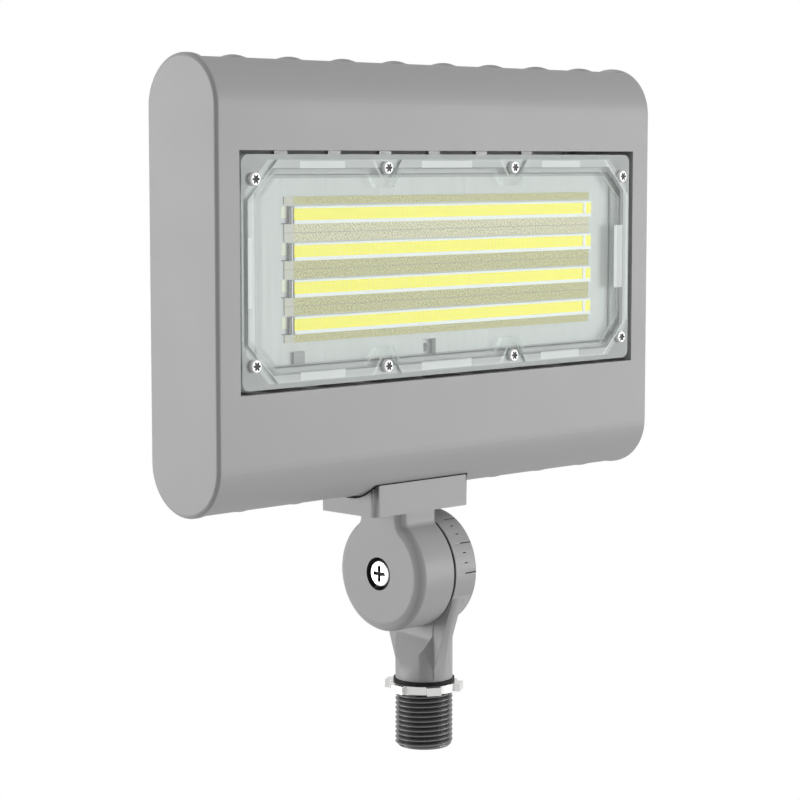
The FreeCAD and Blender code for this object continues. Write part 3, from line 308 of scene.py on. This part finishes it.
# Lower knuckle: stem, web and graduated disc in one die-cast aluminium piece under light-grey powder
# coat, whose fine orange-peel skin breaks the reflections. The tilt scale is cut into the disc's rim.
PAINT = (0.40, 0.40, 0.40)
PAINT_DRIFT = 0.015
TICK_WIDTH = 0.38 * MM
TICK_DEPTH = 0.5 * MM
TICK_START = -0.4 * MM
TICK_PAST_NUT = 1.0 * MM
SHORT_TICK = 1.7 * MM
TICK_STEP = 10
TICK_COUNT = 10
LONG_EVERY = 3

powder, tree = new_material("light grey powder coat")
spot = tree.node("TexCoord", out="Object")
grain = tree.node("TexNoise", {}, {"Vector": spot, "Scale": 2600.0, "Detail": 3.0, "Roughness": 0.6})
cloud = tree.node("TexNoise", {}, {"Vector": spot, "Scale": 45.0, "Detail": 4.0, "Roughness": 0.55})
peel = tree.node("Bump", {}, {"Strength": 0.1, "Distance": 0.05 * MM, "Height": grain})
coat = tree.node("BsdfPrincipled", {}, {
    "Base Color": tree.mix(cloud, *two_tones(PAINT, PAINT_DRIFT)), "Roughness": 0.42 + 0.1 * cloud,
    "Normal": peel, "Specular IOR Level": 0.3})
tree.node("OutputMaterial", {}, {"Surface": coat})

lower_high = corners("lower_knuckle")[1]
disc_radius = lower_high.y
pivot_z = lower_high.z - disc_radius
long_tick = corners("pivot_nut")[1].x + TICK_PAST_NUT - TICK_START


def off_axis(point):
    """A point's distance from the pivot's axis."""
    return math.hypot(point.y, point.z - pivot_z)


def joined(pieces, name):
    bpy.ops.object.select_all(action="DESELECT")
    for piece in pieces:
        piece.select_set(True)
    bpy.context.view_layer.objects.active = pieces[0]
    bpy.ops.object.join()
    pieces[0].name = name
    pieces[0].data.name = name
    return pieces[0]


def second_material(piece, wanted):
    """The faces that pass the test wear the piece's second material."""
    for face in piece.data.polygons:
        if wanted(face):
            face.material_index = 1


def in_tick(face):
    sunk = disc_radius - off_axis(face.center)
    sideways = abs(face.normal.x) > 0.3
    return face.center.x > TICK_START and not sideways and 0.1 * TICK_DEPTH < sunk < 1.1 * TICK_DEPTH


lower = merged_copy("lower_knuckle", "lower_casting")
ticks = []
for k in range(TICK_COUNT):
    turn = math.radians(k * TICK_STEP)
    reach = SHORT_TICK if k % LONG_EVERY else long_tick
    ticks.append(add(
        bpy.ops.mesh.primitive_cube_add, size=1, scale=(reach, 2 * TICK_DEPTH, TICK_WIDTH),
        rotation=(-turn, 0, 0), location=(
            TICK_START + reach / 2, -disc_radius * math.cos(turn), pivot_z + disc_radius * math.sin(turn))))
combine(lower, joined(ticks, "ticks"), "DIFFERENCE")
soften(lower)
# Painted shade: a near-black finish for the tick grooves, the screw's cross and the counterbore.
shadowed = finish("painted recess shade", (0.02, 0.02, 0.02), 0.5, shine=0.1)
fit(lower, "base", "lower_knuckle", "painted_casting", powder, shadowed)
# The tick grooves wear the painted shade.
second_material(lower, in_tick)

# Stem gasket and locknut: a black rubber ring under the stem, held up by a stamped and tapped conduit
# locknut with six lugs, in bright zinc plate.
LUG_EDGE = 0.3 * MM
LUG_ANGLE = 50


def dress(material, *names):
    """Each named CAD node wears that one material."""
    for name in names:
        mesh = nodes[name].data
        mesh.materials.clear()
        mesh.materials.append(material)


rubber = finish("black rubber", (0.012, 0.012, 0.012), 0.6, shine=0.15)
dress(rubber, "stem_gasket")
locknut = merged_copy("locknut", "zinc_locknut")
apply_modifier(locknut, "BEVEL", width=LUG_EDGE, segments=2, limit_method="ANGLE",
               angle_limit=math.radians(LUG_ANGLE))
soften(locknut)
fit(locknut, "locknut", "locknut", "zinc", finish("zinc plate", (0.70, 0.70, 0.685), 0.3, 0.8, mottle=0.05))

# Pivot: a bright cross-recess pan-head screw and a hexagon nut clamp the two discs, with a black rubber
# seal between them.
PAN_ROUND = 0.72 * MM
CROSS_LONG = 3.0 * MM
CROSS_WIDE = 1.4 * MM
CROSS_DEEP = 0.8 * MM

dress(rubber, "joint_seal")
bright = finish("bright plated steel", (0.9, 0.9, 0.9), 0.28, 0.8)
dress(bright, "pivot_nut")
screw_low, screw_high = corners("pivot_screw")
pan_face = screw_low.x
pan_radius = screw_high.y


def pick(piece, kind, wanted):
    """In edit mode, selects just the verts or edges that pass the test."""
    bpy.ops.mesh.select_mode(type={"verts": "VERT", "edges": "EDGE"}[kind])
    bpy.ops.mesh.select_all(action="DESELECT")
    shape = bmesh.from_edit_mesh(piece.data)
    for item in getattr(shape, kind):
        item.select_set(wanted(item))
    shape.select_flush_mode()
    bmesh.update_edit_mesh(piece.data)


def on_pan_rim(edge):
    in_face = all(abs(v.co.x - pan_face) < MICRON for v in edge.verts)
    return in_face and max(off_axis(v.co) for v in edge.verts) > pan_radius - 0.05 * MM


def in_cross(face):
    sunk = face.center.x - pan_face
    return 0.05 * MM < sunk < 1.05 * CROSS_DEEP and off_axis(face.center) < CROSS_LONG + 0.01 * MM


pivot_screw = merged_copy("pivot_screw", "pivot_fastener")
edit(pivot_screw)
pick(pivot_screw, "edges", on_pan_rim)
bpy.ops.mesh.bevel(offset=PAN_ROUND, segments=5, affect="EDGES")
bpy.ops.object.mode_set(mode="OBJECT")
for turn in (0, 90):
    arm = add(
        bpy.ops.mesh.primitive_cube_add, size=1, scale=(2 * CROSS_DEEP, 2 * CROSS_LONG, CROSS_WIDE),
        rotation=(math.radians(turn), 0, 0), location=(pan_face, 0, pivot_z))
    combine(pivot_screw, arm, "DIFFERENCE")
soften(pivot_screw)
fit(pivot_screw, "base", "pivot_screw", "bright_steel", bright, shadowed)
# The cross recess wears the painted shade.
second_material(pivot_screw, in_cross)

# Upper knuckle: disc, neck and saddle block in one painted die casting. The counterbore for the pivot
# screw wears painted shade, as dark as the shadow in it.
ROUND_STEP = 0.56 * MM
ROUND_END = -19.3 * MM
ROUND_ANGLES = (20, 40)
BORE_REACH = 6.3 * MM
BORE_END = -15.0 * MM
SEAT_BEHIND_PAN = 1.0 * MM

upper_low, upper_high = corners("upper_knuckle")


def on_disc_round(edge):
    level = abs(edge.verts[0].co.x - edge.verts[1].co.x) < MICRON
    if not level or len(edge.link_faces) != 2 or max(v.co.x for v in edge.verts) >= ROUND_END:
        return False
    return ROUND_ANGLES[0] < math.degrees(edge.calc_face_angle()) < ROUND_ANGLES[1]


def in_bore(face):
    wall = abs(face.normal.x) < 0.5
    seat = face.center.x > pan_face + SEAT_BEHIND_PAN
    return off_axis(face.center) < BORE_REACH and face.center.x < BORE_END and (wall or seat)


upper = merged_copy("upper_knuckle", "upper_casting")
edit(upper)
pick(upper, "edges", on_disc_round)
bpy.ops.mesh.bevel(offset=ROUND_STEP, segments=2, affect="EDGES")
bpy.ops.object.mode_set(mode="OBJECT")
soften(upper)
fit(upper, "head", "upper_knuckle", "painted_casting", powder, shadowed)
# The counterbore wears the painted shade.
second_material(upper, in_bore)

# Saddle joint: a black rubber gasket between block and housing, seen as a thin dark line, and the two
# bright hexagon-head screws that are driven up through the block.
dress(rubber, "knuckle_gasket")
dress(bright, "knuckle_screws")

# Housing: one die casting with the front shell, two end plates and eight open fins, in the same powder
# coat. The fins' edges and the ends' edges are rounded as cast. The fins' fronts at the slot's floor wear a
# bright metal finish as painted light; a thin rib behind the top and the bottom of the window keeps daylight
# out of the slot.
FIN_COUNT = 8
FIN_PITCH = 25.3 * MM
FIN_THICK = 6.0 * MM
FIN_ROUND = 2.6 * MM
FIN_SETBACK = 0.2 * MM
END_BEVEL = 1.0 * MM
END_ROUND = 0.4 * MM
PAD_TOP = 9.3 * MM
PAD_PAST_BLOCK = 1.0 * MM
RIB_FRONT = 3.4 * MM
RIB_THICK = 2.0 * MM
RIB_ABOVE = 4.5 * MM
RIB_BELOW = 7.5 * MM
RIB_HIGH = 8.5 * MM
SLOT_FLOOR = 2.4 * MM
FACING = 0.9

lens_low, lens_high = corners("lens")
housing_low, housing_high = corners("housing")
centre = (housing_low + housing_high) / 2
half = (housing_high - housing_low) / 2
rise = half.z - half.y


def outline_reach(point):
    """A point's distance from the middle line of the stadium outline."""
    return math.hypot(point.y - centre.y, max(0, abs(point.z - centre.z) - rise))


def on_fin_rim(edge):
    first, second = [v.co for v in edge.verts]
    place = (first.x - centre.x) / FIN_PITCH + (FIN_COUNT - 1) / 2
    on_side = abs(abs(place - round(place)) * FIN_PITCH - FIN_THICK / 2) < 10 * MICRON
    on_rim = all(abs(outline_reach(v.co) - half.y + FIN_SETBACK) < 20 * MICRON for v in edge.verts)
    by_block = upper_low.x < first.x < upper_high.x + PAD_PAST_BLOCK
    on_pad = by_block and first.z < housing_low.z + PAD_TOP
    return on_side and on_rim and not on_pad and abs(first.x - second.x) < MICRON


def on_end_bevel(edge):
    outs = [abs(v.co.x - centre.x) for v in edge.verts]
    reach = min(outline_reach(v.co) for v in edge.verts)
    outer = all(abs(out - half.x) < 10 * MICRON for out in outs) and reach > half.y - 1.2 * END_BEVEL
    inner = all(abs(out - half.x + END_BEVEL) < 10 * MICRON for out in outs) and reach > half.y - 10 * MICRON
    return outer or inner


def on_slot_floor(face):
    return face.normal.y < -FACING and abs(face.center.y - SLOT_FLOOR) < 10 * MICRON


def brick(low, high):
    """A closed box between two corners, as an object of its own."""
    low, high = Vector(low), Vector(high)
    return add(bpy.ops.mesh.primitive_cube_add, size=1, location=(low + high) / 2, scale=high - low)


housing = merged_copy("housing", "housing_casting")
edit(housing)
pick(housing, "edges", on_fin_rim)
bpy.ops.mesh.bevel(offset=FIN_ROUND, segments=5, affect="EDGES")
pick(housing, "edges", on_end_bevel)
bpy.ops.mesh.bevel(offset=END_ROUND, segments=2, affect="EDGES")
bpy.ops.object.mode_set(mode="OBJECT")
for rib_low in (lens_high.z + RIB_ABOVE - RIB_HIGH, lens_low.z - RIB_BELOW):
    rib = brick((housing_low.x + END_BEVEL, RIB_FRONT, rib_low),
                (housing_high.x - END_BEVEL, RIB_FRONT + RIB_THICK, rib_low + RIB_HIGH))
    combine(housing, rib, "UNION")
soften(housing)
# The second material is painted light: a bright metal finish on the fins' fronts, which sit in shade.
fit(housing, "head", "housing", "painted_casting", powder,
    finish("painted light on fin fronts", (0.3, 0.3, 0.3), 0.35, 1.0))
second_material(housing, on_slot_floor)

# LED chamber: a white metal-core board on a thermal sheet, in the recess of the housing's platform, with
# a pale silicone gasket round it and a white grommet for the leads. The mask shows faint upright streaks.
dress(finish("thermal sheet", (0.5, 0.52, 0.55), 0.7), "thermal_pad")
dress(finish("pale silicone", (0.64, 0.67, 0.67), 0.6, shine=0.2), "lens_gasket")
mask, tree = new_material("white board mask")
spot = tree.node("TexCoord", out="Object")
drawn = tree.node("Mapping", {}, {"Vector": spot, "Scale": (900, 900, 40)})
streak = tree.node("TexNoise", {}, {"Vector": drawn, "Scale": 1.0, "Detail": 2.0})
tone = tree.mix(streak, (0.55, 0.58, 0.565, 1), (0.67, 0.70, 0.69, 1))
skin = tree.node("BsdfPrincipled", {}, {"Base Color": tone, "Roughness": 0.6, "Specular IOR Level": 0.2})
tree.node("OutputMaterial", {}, {"Surface": skin})
dress(mask, "led_board", "wire_grommet")

# LED rows: four lines of chips under yellow phosphor gel, with a short block of it past the right end.
# A white moulded dam runs above, below and between them; faint lines mark the chips. The gel wears a
# faint painted glow.
ROWS = 4
ROW_HIGH = 4.0 * MM
CHIP_PITCH = 2.1 * MM
CHIP_LINE = 0.16 * MM
CHIP_SHADE = 0.35
PHOSPHOR_PAINTED_GLOW = 0.1
DAM_ABOVE = 0.75 * MM
DAM_BELOW = 1.25 * MM
DAM_PROUD = 0.15 * MM
DAM_EDGE = 0.08 * MM

phosphor, tree = new_material("yellow phosphor")
spot = tree.node("TexCoord", out="Object")
along = tree.node("SeparateXYZ", {}, {"Vector": spot})
chip_line = (along % CHIP_PITCH) < CHIP_LINE
gel = tree.node("TexNoise", {}, {"Vector": spot, "Scale": 500.0, "Detail": 2.0})
tone = tree.mix(gel, (0.91, 0.84, 0.01, 1), (0.94, 0.88, 0.03, 1))
tone = tree.mix(CHIP_SHADE * chip_line, tone, (0.6, 0.6, 0.25, 1))
# Painted light: the gel glows faintly in its own colour.
skin = tree.node("BsdfPrincipled", {}, {
    "Base Color": tone, "Roughness": 0.5, "Specular IOR Level": 0.2, "Emission Color": tone,
    "Emission Strength": PHOSPHOR_PAINTED_GLOW})
tree.node("OutputMaterial", {}, {"Surface": skin})
dress(phosphor, "led_rows", "row_end_blocks")

rows_low, rows_high = corners("led_rows")
blocks_low, blocks_high = corners("row_end_blocks")
board_face = corners("led_board")[0].y
row_pitch = (rows_high.z - rows_low.z - ROW_HIGH) / (ROWS - 1)
row_top = rows_low.z + ROW_HIGH
dam_front = rows_low.y - DAM_PROUD
dam_low = rows_low.z - DAM_BELOW
dam_top = row_top + DAM_ABOVE


def moved_copy(piece, step, name):
    """A copy of that piece with a mesh of its own, moved by that step."""
    choose(piece)
    bpy.ops.object.duplicate()
    copy = bpy.context.object
    copy.name = name
    edit(copy)
    bpy.ops.transform.translate(value=step)
    bpy.ops.object.mode_set(mode="OBJECT")
    return copy


moulded = finish("white dam", (0.90, 0.93, 0.91), 0.5, shine=0.2)
dam = joined([
    brick((rows_low.x, dam_front, row_top), (blocks_high.x, board_face, dam_top)),
    brick((rows_low.x, dam_front, dam_low), (blocks_high.x, board_face, rows_low.z)),
    brick((rows_high.x, dam_front, rows_low.z), (blocks_low.x, board_face, row_top))], "row_dam_0")
apply_modifier(dam, "BEVEL", width=DAM_EDGE, segments=2)
dam.data.materials.append(moulded)
for k in range(ROWS):
    copy = dam if k == 0 else moved_copy(dam, (0, 0, k * row_pitch), "row_dam_%d" % k)
    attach(copy, "head")

# Row ends: a dark upright bar with a bright wire line at the left end of each row, a pale pad beside it
# and a thin dark foot, all bonded to the board.
BAR_WIDE = 2.2 * MM
BAR_GAP = 0.25 * MM
BAR_EDGE = 0.04 * MM
WIRE_IN = 0.95 * MM
WIRE_WIDE = 0.35 * MM
WIRE_PROUD = 0.1 * MM
PAD_WIDE = 2.7 * MM
PAD_RAISED = 0.8 * MM
PAD_THICK = 0.1 * MM
FOOT_HIGH = 0.35 * MM
FOOT_THICK = 0.2 * MM

bar_right = rows_low.x - BAR_GAP
bar_left = bar_right - BAR_WIDE
wire = bar_right - WIRE_IN
pad_left = bar_left - PAD_WIDE
dark = finish("dark bar", (0.095, 0.095, 0.105), 0.45, shine=0.2)
cream = finish("pale pad", (0.80, 0.83, 0.66), 0.6, shine=0.2)
row_end_parts = []
for material, low, high in (
        (dark, (bar_left, rows_low.y, dam_low), (bar_right, board_face, dam_top)),
        (moulded, (wire, rows_low.y - WIRE_PROUD, dam_low), (wire + WIRE_WIDE, rows_low.y, dam_top)),
        (cream, (pad_left, board_face - PAD_THICK, rows_low.z + PAD_RAISED), (bar_left, board_face, dam_top)),
        (dark, (pad_left, board_face - FOOT_THICK, dam_low), (bar_left, board_face, dam_low + FOOT_HIGH))):
    row_end_parts.append(brick(low, high))
    row_end_parts[-1].data.materials.append(material)
row_end = joined(row_end_parts, "row_end_0")
apply_modifier(row_end, "BEVEL", width=BAR_EDGE, segments=1)
for k in range(ROWS):
    copy = row_end if k == 0 else moved_copy(row_end, (0, 0, k * row_pitch), "row_end_%d" % k)
    fit(copy, "head", "row_end_bars", "dark_ink")

# Board strips: flat beige traces between and beside the rows, the second from the top paler, with a fine
# slanting grain, a thin dark middle line and greyer stubs at the left. The rectifier is a small grey block.
STUB_LONG = 4.2 * MM
STUB_SHADE = 0.85
MID_LINE = 0.2 * MM
LINE_SHADE = 0.75
SPECK_GAIN = 3.0
SLANT_GAIN = 0.3
GRAIN_MIDDLE = 0.52

strip_left = corners("board_strips")[0].x
middle_z = (rows_low.z + rows_high.z) / 2
beige, tree = new_material("beige trace")
spot = tree.node("TexCoord", out="Object")
along = tree.node("SeparateXYZ", {}, {"Vector": spot})
height = along.output("Z")
speck = tree.node("TexNoise", {}, {"Vector": spot, "Scale": 1500.0, "Detail": 2.0, "Roughness": 0.7})
slant = tree.node("TexWave", {"bands_direction": "DIAGONAL"}, {
    "Vector": spot, "Scale": 420.0, "Distortion": 2.5})
grain = SPECK_GAIN * (speck - 0.5) + SLANT_GAIN * (slant - 0.5) + GRAIN_MIDDLE
paler = abs(height - middle_z - row_pitch) < row_pitch / 2
stub = along < strip_left + STUB_LONG
line = abs((height - middle_z + row_pitch / 2) % row_pitch - row_pitch / 2) < MID_LINE / 2
tone = tree.mix(grain, (0.40, 0.36, 0.17, 1), (0.85, 0.83, 0.60, 1))
tone = tree.mix(1 - paler, tone, (0.78, 0.79, 0.52, 1), "MULTIPLY")
tone = tree.mix(STUB_SHADE * stub, tone, (0.58, 0.58, 0.53, 1))
tone = tree.mix(LINE_SHADE * line, tone, (0.25, 0.25, 0.22, 1))
skin = tree.node("BsdfPrincipled", {}, {"Base Color": tone, "Roughness": 0.6, "Specular IOR Level": 0.2})
tree.node("OutputMaterial", {}, {"Surface": skin})
dress(beige, "board_strips")
dress(finish("grey component", (0.27, 0.275, 0.27), 0.5, shine=0.2), "rectifier")

# Lens: one clear polycarbonate moulding with a faint green cast, screwed over the LED chamber. Its flange
# is grey; the rim of the raised field is pale with paler patches, painted highlights on the ridge; a greyer
# step and line inside it, painted shade on the ridge's inner slope, lead to the clear middle; the field's
# corners are cut off for the screws.
FLANGE = 1.8 * MM
CORNER_CUT = 10.0 * MM
PALE_RIM = 2.8 * MM
GREY_STEP = 4.8 * MM
DARK_STEP = 6.2 * MM
CLEAR_HAZE = 0.02
FLANGE_HAZE = 0.6
RIM_PAINTED_HIGHLIGHT = 0.58
STEP_HAZE = 0.24
PATCH_PAINTED_HIGHLIGHT = 0.84
FLANGE_GREY = 0.4
STEP_PAINTED_SHADE = 0.12
LINE_PAINTED_SHADE = 0.15
GLOSS_SHARE = 0.008
WALL_TONE = (0.80, 0.84, 0.825, 1)
WALL_HAZE = 0.35
WALL_CLOUD = 0.25
MILK_SHARE = 0.6
PATCH_DEEP = 1.1 * MM
PATCH_SPANS = [(-79.2, -58.3), (-20.9, 4.9), (42.7, 64.3)]
PATCH_LEVELS = [(193.2, 195.6), (121.6, 124.4)]
SIDE_PATCHES = [(-103.0, -100.9, 147.0, 170.4), (84.7, 89.7, 147.0, 171.0), (-104.5, -103.7, 136.0, 182.0)]

lens_mid = (lens_low + lens_high) / 2
field = (lens_high - lens_low) / 2 - Vector((FLANGE, 0, FLANGE))
flats, tree = new_material("clear polycarbonate")
spot = tree.node("TexCoord", out="Object")
along = tree.node("SeparateXYZ", {}, {"Vector": spot})
deep = along.output("Y")
height = along.output("Z")
from_side = field.x - abs(along - lens_mid.x)
from_edge = field.z - abs(height - lens_mid.z)
inward = tree.maths("MINIMUM", from_side, from_edge)
inward = tree.maths("MINIMUM", inward, math.sqrt(0.5) * (from_side + from_edge - CORNER_CUT))
flange = inward < 0
# The rim is a painted highlight on the ridge's top; the step and the line are painted shade on its inner
# slope.
rim = (inward > 0) * (inward < PALE_RIM)
step = (inward > PALE_RIM) * (inward < GREY_STEP)
line = (inward > GREY_STEP) * (inward < DARK_STEP)
# The patches are brighter painted highlights on the ridge.
edge_patches = [(*span, *level) for level in PATCH_LEVELS for span in PATCH_SPANS]
patch = 0
for left, right, low, high in edge_patches + SIDE_PATCHES:
    within = (along > left * MM) * (along < right * MM)
    patch = patch + within * (height > low * MM) * (height < high * MM)
patch = patch * (deep < lens_low.y + PATCH_DEEP)
cloudy = tree.node("TexNoise", {}, {"Vector": spot, "Scale": 160.0, "Detail": 3.0})
haze_and_painted_highlight = CLEAR_HAZE + FLANGE_HAZE * flange + RIM_PAINTED_HIGHLIGHT * rim + STEP_HAZE * step
haze_and_painted_highlight = tree.maths("MAXIMUM", haze_and_painted_highlight, PATCH_PAINTED_HIGHLIGHT * patch)
# The grey of the step and of the line is painted shade.
grey = (FLANGE_GREY * flange + STEP_PAINTED_SHADE * step + LINE_PAINTED_SHADE * line) * (0.8 + 0.4 * cloudy)
through = tree.node("BsdfTransparent", {}, {"Color": (0.975, 0.988, 0.982, 1)})
frost = tree.node("BsdfDiffuse", {}, {"Color": (0.87, 0.93, 0.905, 1)})
shade = tree.node("BsdfDiffuse", {}, {"Color": (0.19, 0.20, 0.20, 1)})
gloss = tree.node("BsdfGlossy", {}, {"Color": WHITE, "Roughness": 0.2})
body = tree.node("MixShader", {}, {0: haze_and_painted_highlight, 1: through, 2: frost})
body = tree.node("MixShader", {}, {0: grey, 1: body, 2: shade})
body = tree.node("MixShader", {}, {0: GLOSS_SHARE, 1: body, 2: gloss})
tree.node("OutputMaterial", {}, {"Surface": body})

walls, tree = new_material("clear polycarbonate walls")
spot = tree.node("TexCoord", out="Object")
cloudy = tree.node("TexNoise", {}, {"Vector": spot, "Scale": 200.0, "Detail": 3.0})
through = tree.node("BsdfTransparent", {}, {"Color": (0.965, 0.98, 0.975, 1)})
frost = tree.node("BsdfDiffuse", {}, {"Color": WALL_TONE})
milk = tree.node("BsdfTranslucent", {}, {"Color": WALL_TONE})
body = tree.node("MixShader", {}, {0: MILK_SHARE, 1: frost, 2: milk})
body = tree.node("MixShader", {}, {0: WALL_HAZE + WALL_CLOUD * cloudy, 1: through, 2: body})
tree.node("OutputMaterial", {}, {"Surface": body})


def is_wall(face):
    return abs(face.normal.y) <= FACING


lens = merged_copy("lens", "clear_cover")
fit(lens, "head", "lens", "clear_lens", flats, walls)
second_material(lens, is_wall)

# Lens screws: eight bright pan-head screws with a six-lobe recess, driven through the flange into the
# platform. One is modelled and copied to the eight places.
HEAD_RADIUS = 2.25 * MM
HEAD_HIGH = 1.5 * MM
HEAD_ROUND = 0.525 * MM
SHANK_RADIUS = 1.0 * MM
STAR_OUT = 1.6 * MM
STAR_IN = 0.55
STAR_DEEP = 0.3 * MM
LOBES = 6
CORNER_AT = (94.3 * MM, 31.0 * MM)
INNER_AT = (32.65 * MM, 34.6 * MM)
FACING_FRONT = (math.radians(90), 0, 0)

screws_low, screws_high = corners("lens_screws")
front = screws_low.y
seat = front + HEAD_HIGH
point = screws_high.y


def on_head_rim(edge):
    return all(v.co.y < front + MICRON for v in edge.verts)


def between_lobes(vert):
    return round(math.atan2(vert.co.z, vert.co.x) * 2 * LOBES / math.pi) % 4 == 2


def in_star(face):
    sunk = face.center.y - front
    return 0.3 * STAR_DEEP < sunk < 1.1 * STAR_DEEP and math.hypot(face.center.x, face.center.z) < STAR_OUT


head = add(
    bpy.ops.mesh.primitive_cylinder_add, vertices=24, radius=HEAD_RADIUS, depth=HEAD_HIGH,
    rotation=FACING_FRONT, location=(0, (front + seat) / 2, 0))
edit(head)
pick(head, "edges", on_head_rim)
bpy.ops.mesh.bevel(offset=HEAD_ROUND, segments=4, affect="EDGES")
bpy.ops.object.mode_set(mode="OBJECT")
star = add(
    bpy.ops.mesh.primitive_circle_add, vertices=4 * LOBES, radius=STAR_OUT, fill_type="NGON",
    rotation=FACING_FRONT, location=(0, front - STAR_DEEP, 0))
edit(star)
pick(star, "verts", between_lobes)
bpy.ops.transform.resize(value=(STAR_IN, 1, STAR_IN), center_override=(0, front - STAR_DEEP, 0))
bpy.ops.mesh.select_all(action="SELECT")
bpy.ops.mesh.extrude_region_move(TRANSFORM_OT_translate={"value": (0, 2 * STAR_DEEP, 0)})
bpy.ops.mesh.select_all(action="SELECT")
bpy.ops.mesh.normals_make_consistent(inside=False)
bpy.ops.object.mode_set(mode="OBJECT")
combine(head, star, "DIFFERENCE")
shank = add(
    bpy.ops.mesh.primitive_cylinder_add, vertices=16, radius=SHANK_RADIUS, depth=point - seat,
    rotation=FACING_FRONT, location=(0, (seat + point) / 2, 0))
screw = joined([head, shank], "lens_screw_0")
soften(screw, 40)
screw.data.materials.append(finish("passivated steel", (0.86, 0.86, 0.86), 0.5, 0.35))
screw.data.materials.append(finish("shaded recess", (0.05, 0.05, 0.05), 0.5, shine=0.2))
second_material(screw, in_star)
places = [(side * x, level * z) for x, z in (CORNER_AT, INNER_AT) for side in (-1, 1) for level in (-1, 1)]
for k, (x, z) in enumerate(places):
    copy = moved_copy(screw, (lens_mid.x + x, 0, lens_mid.z + z), "lens_screw_%d" % (k + 1))
    fit(copy, "head", "lens_screws", "bright_steel")
bpy.data.objects.remove(screw)
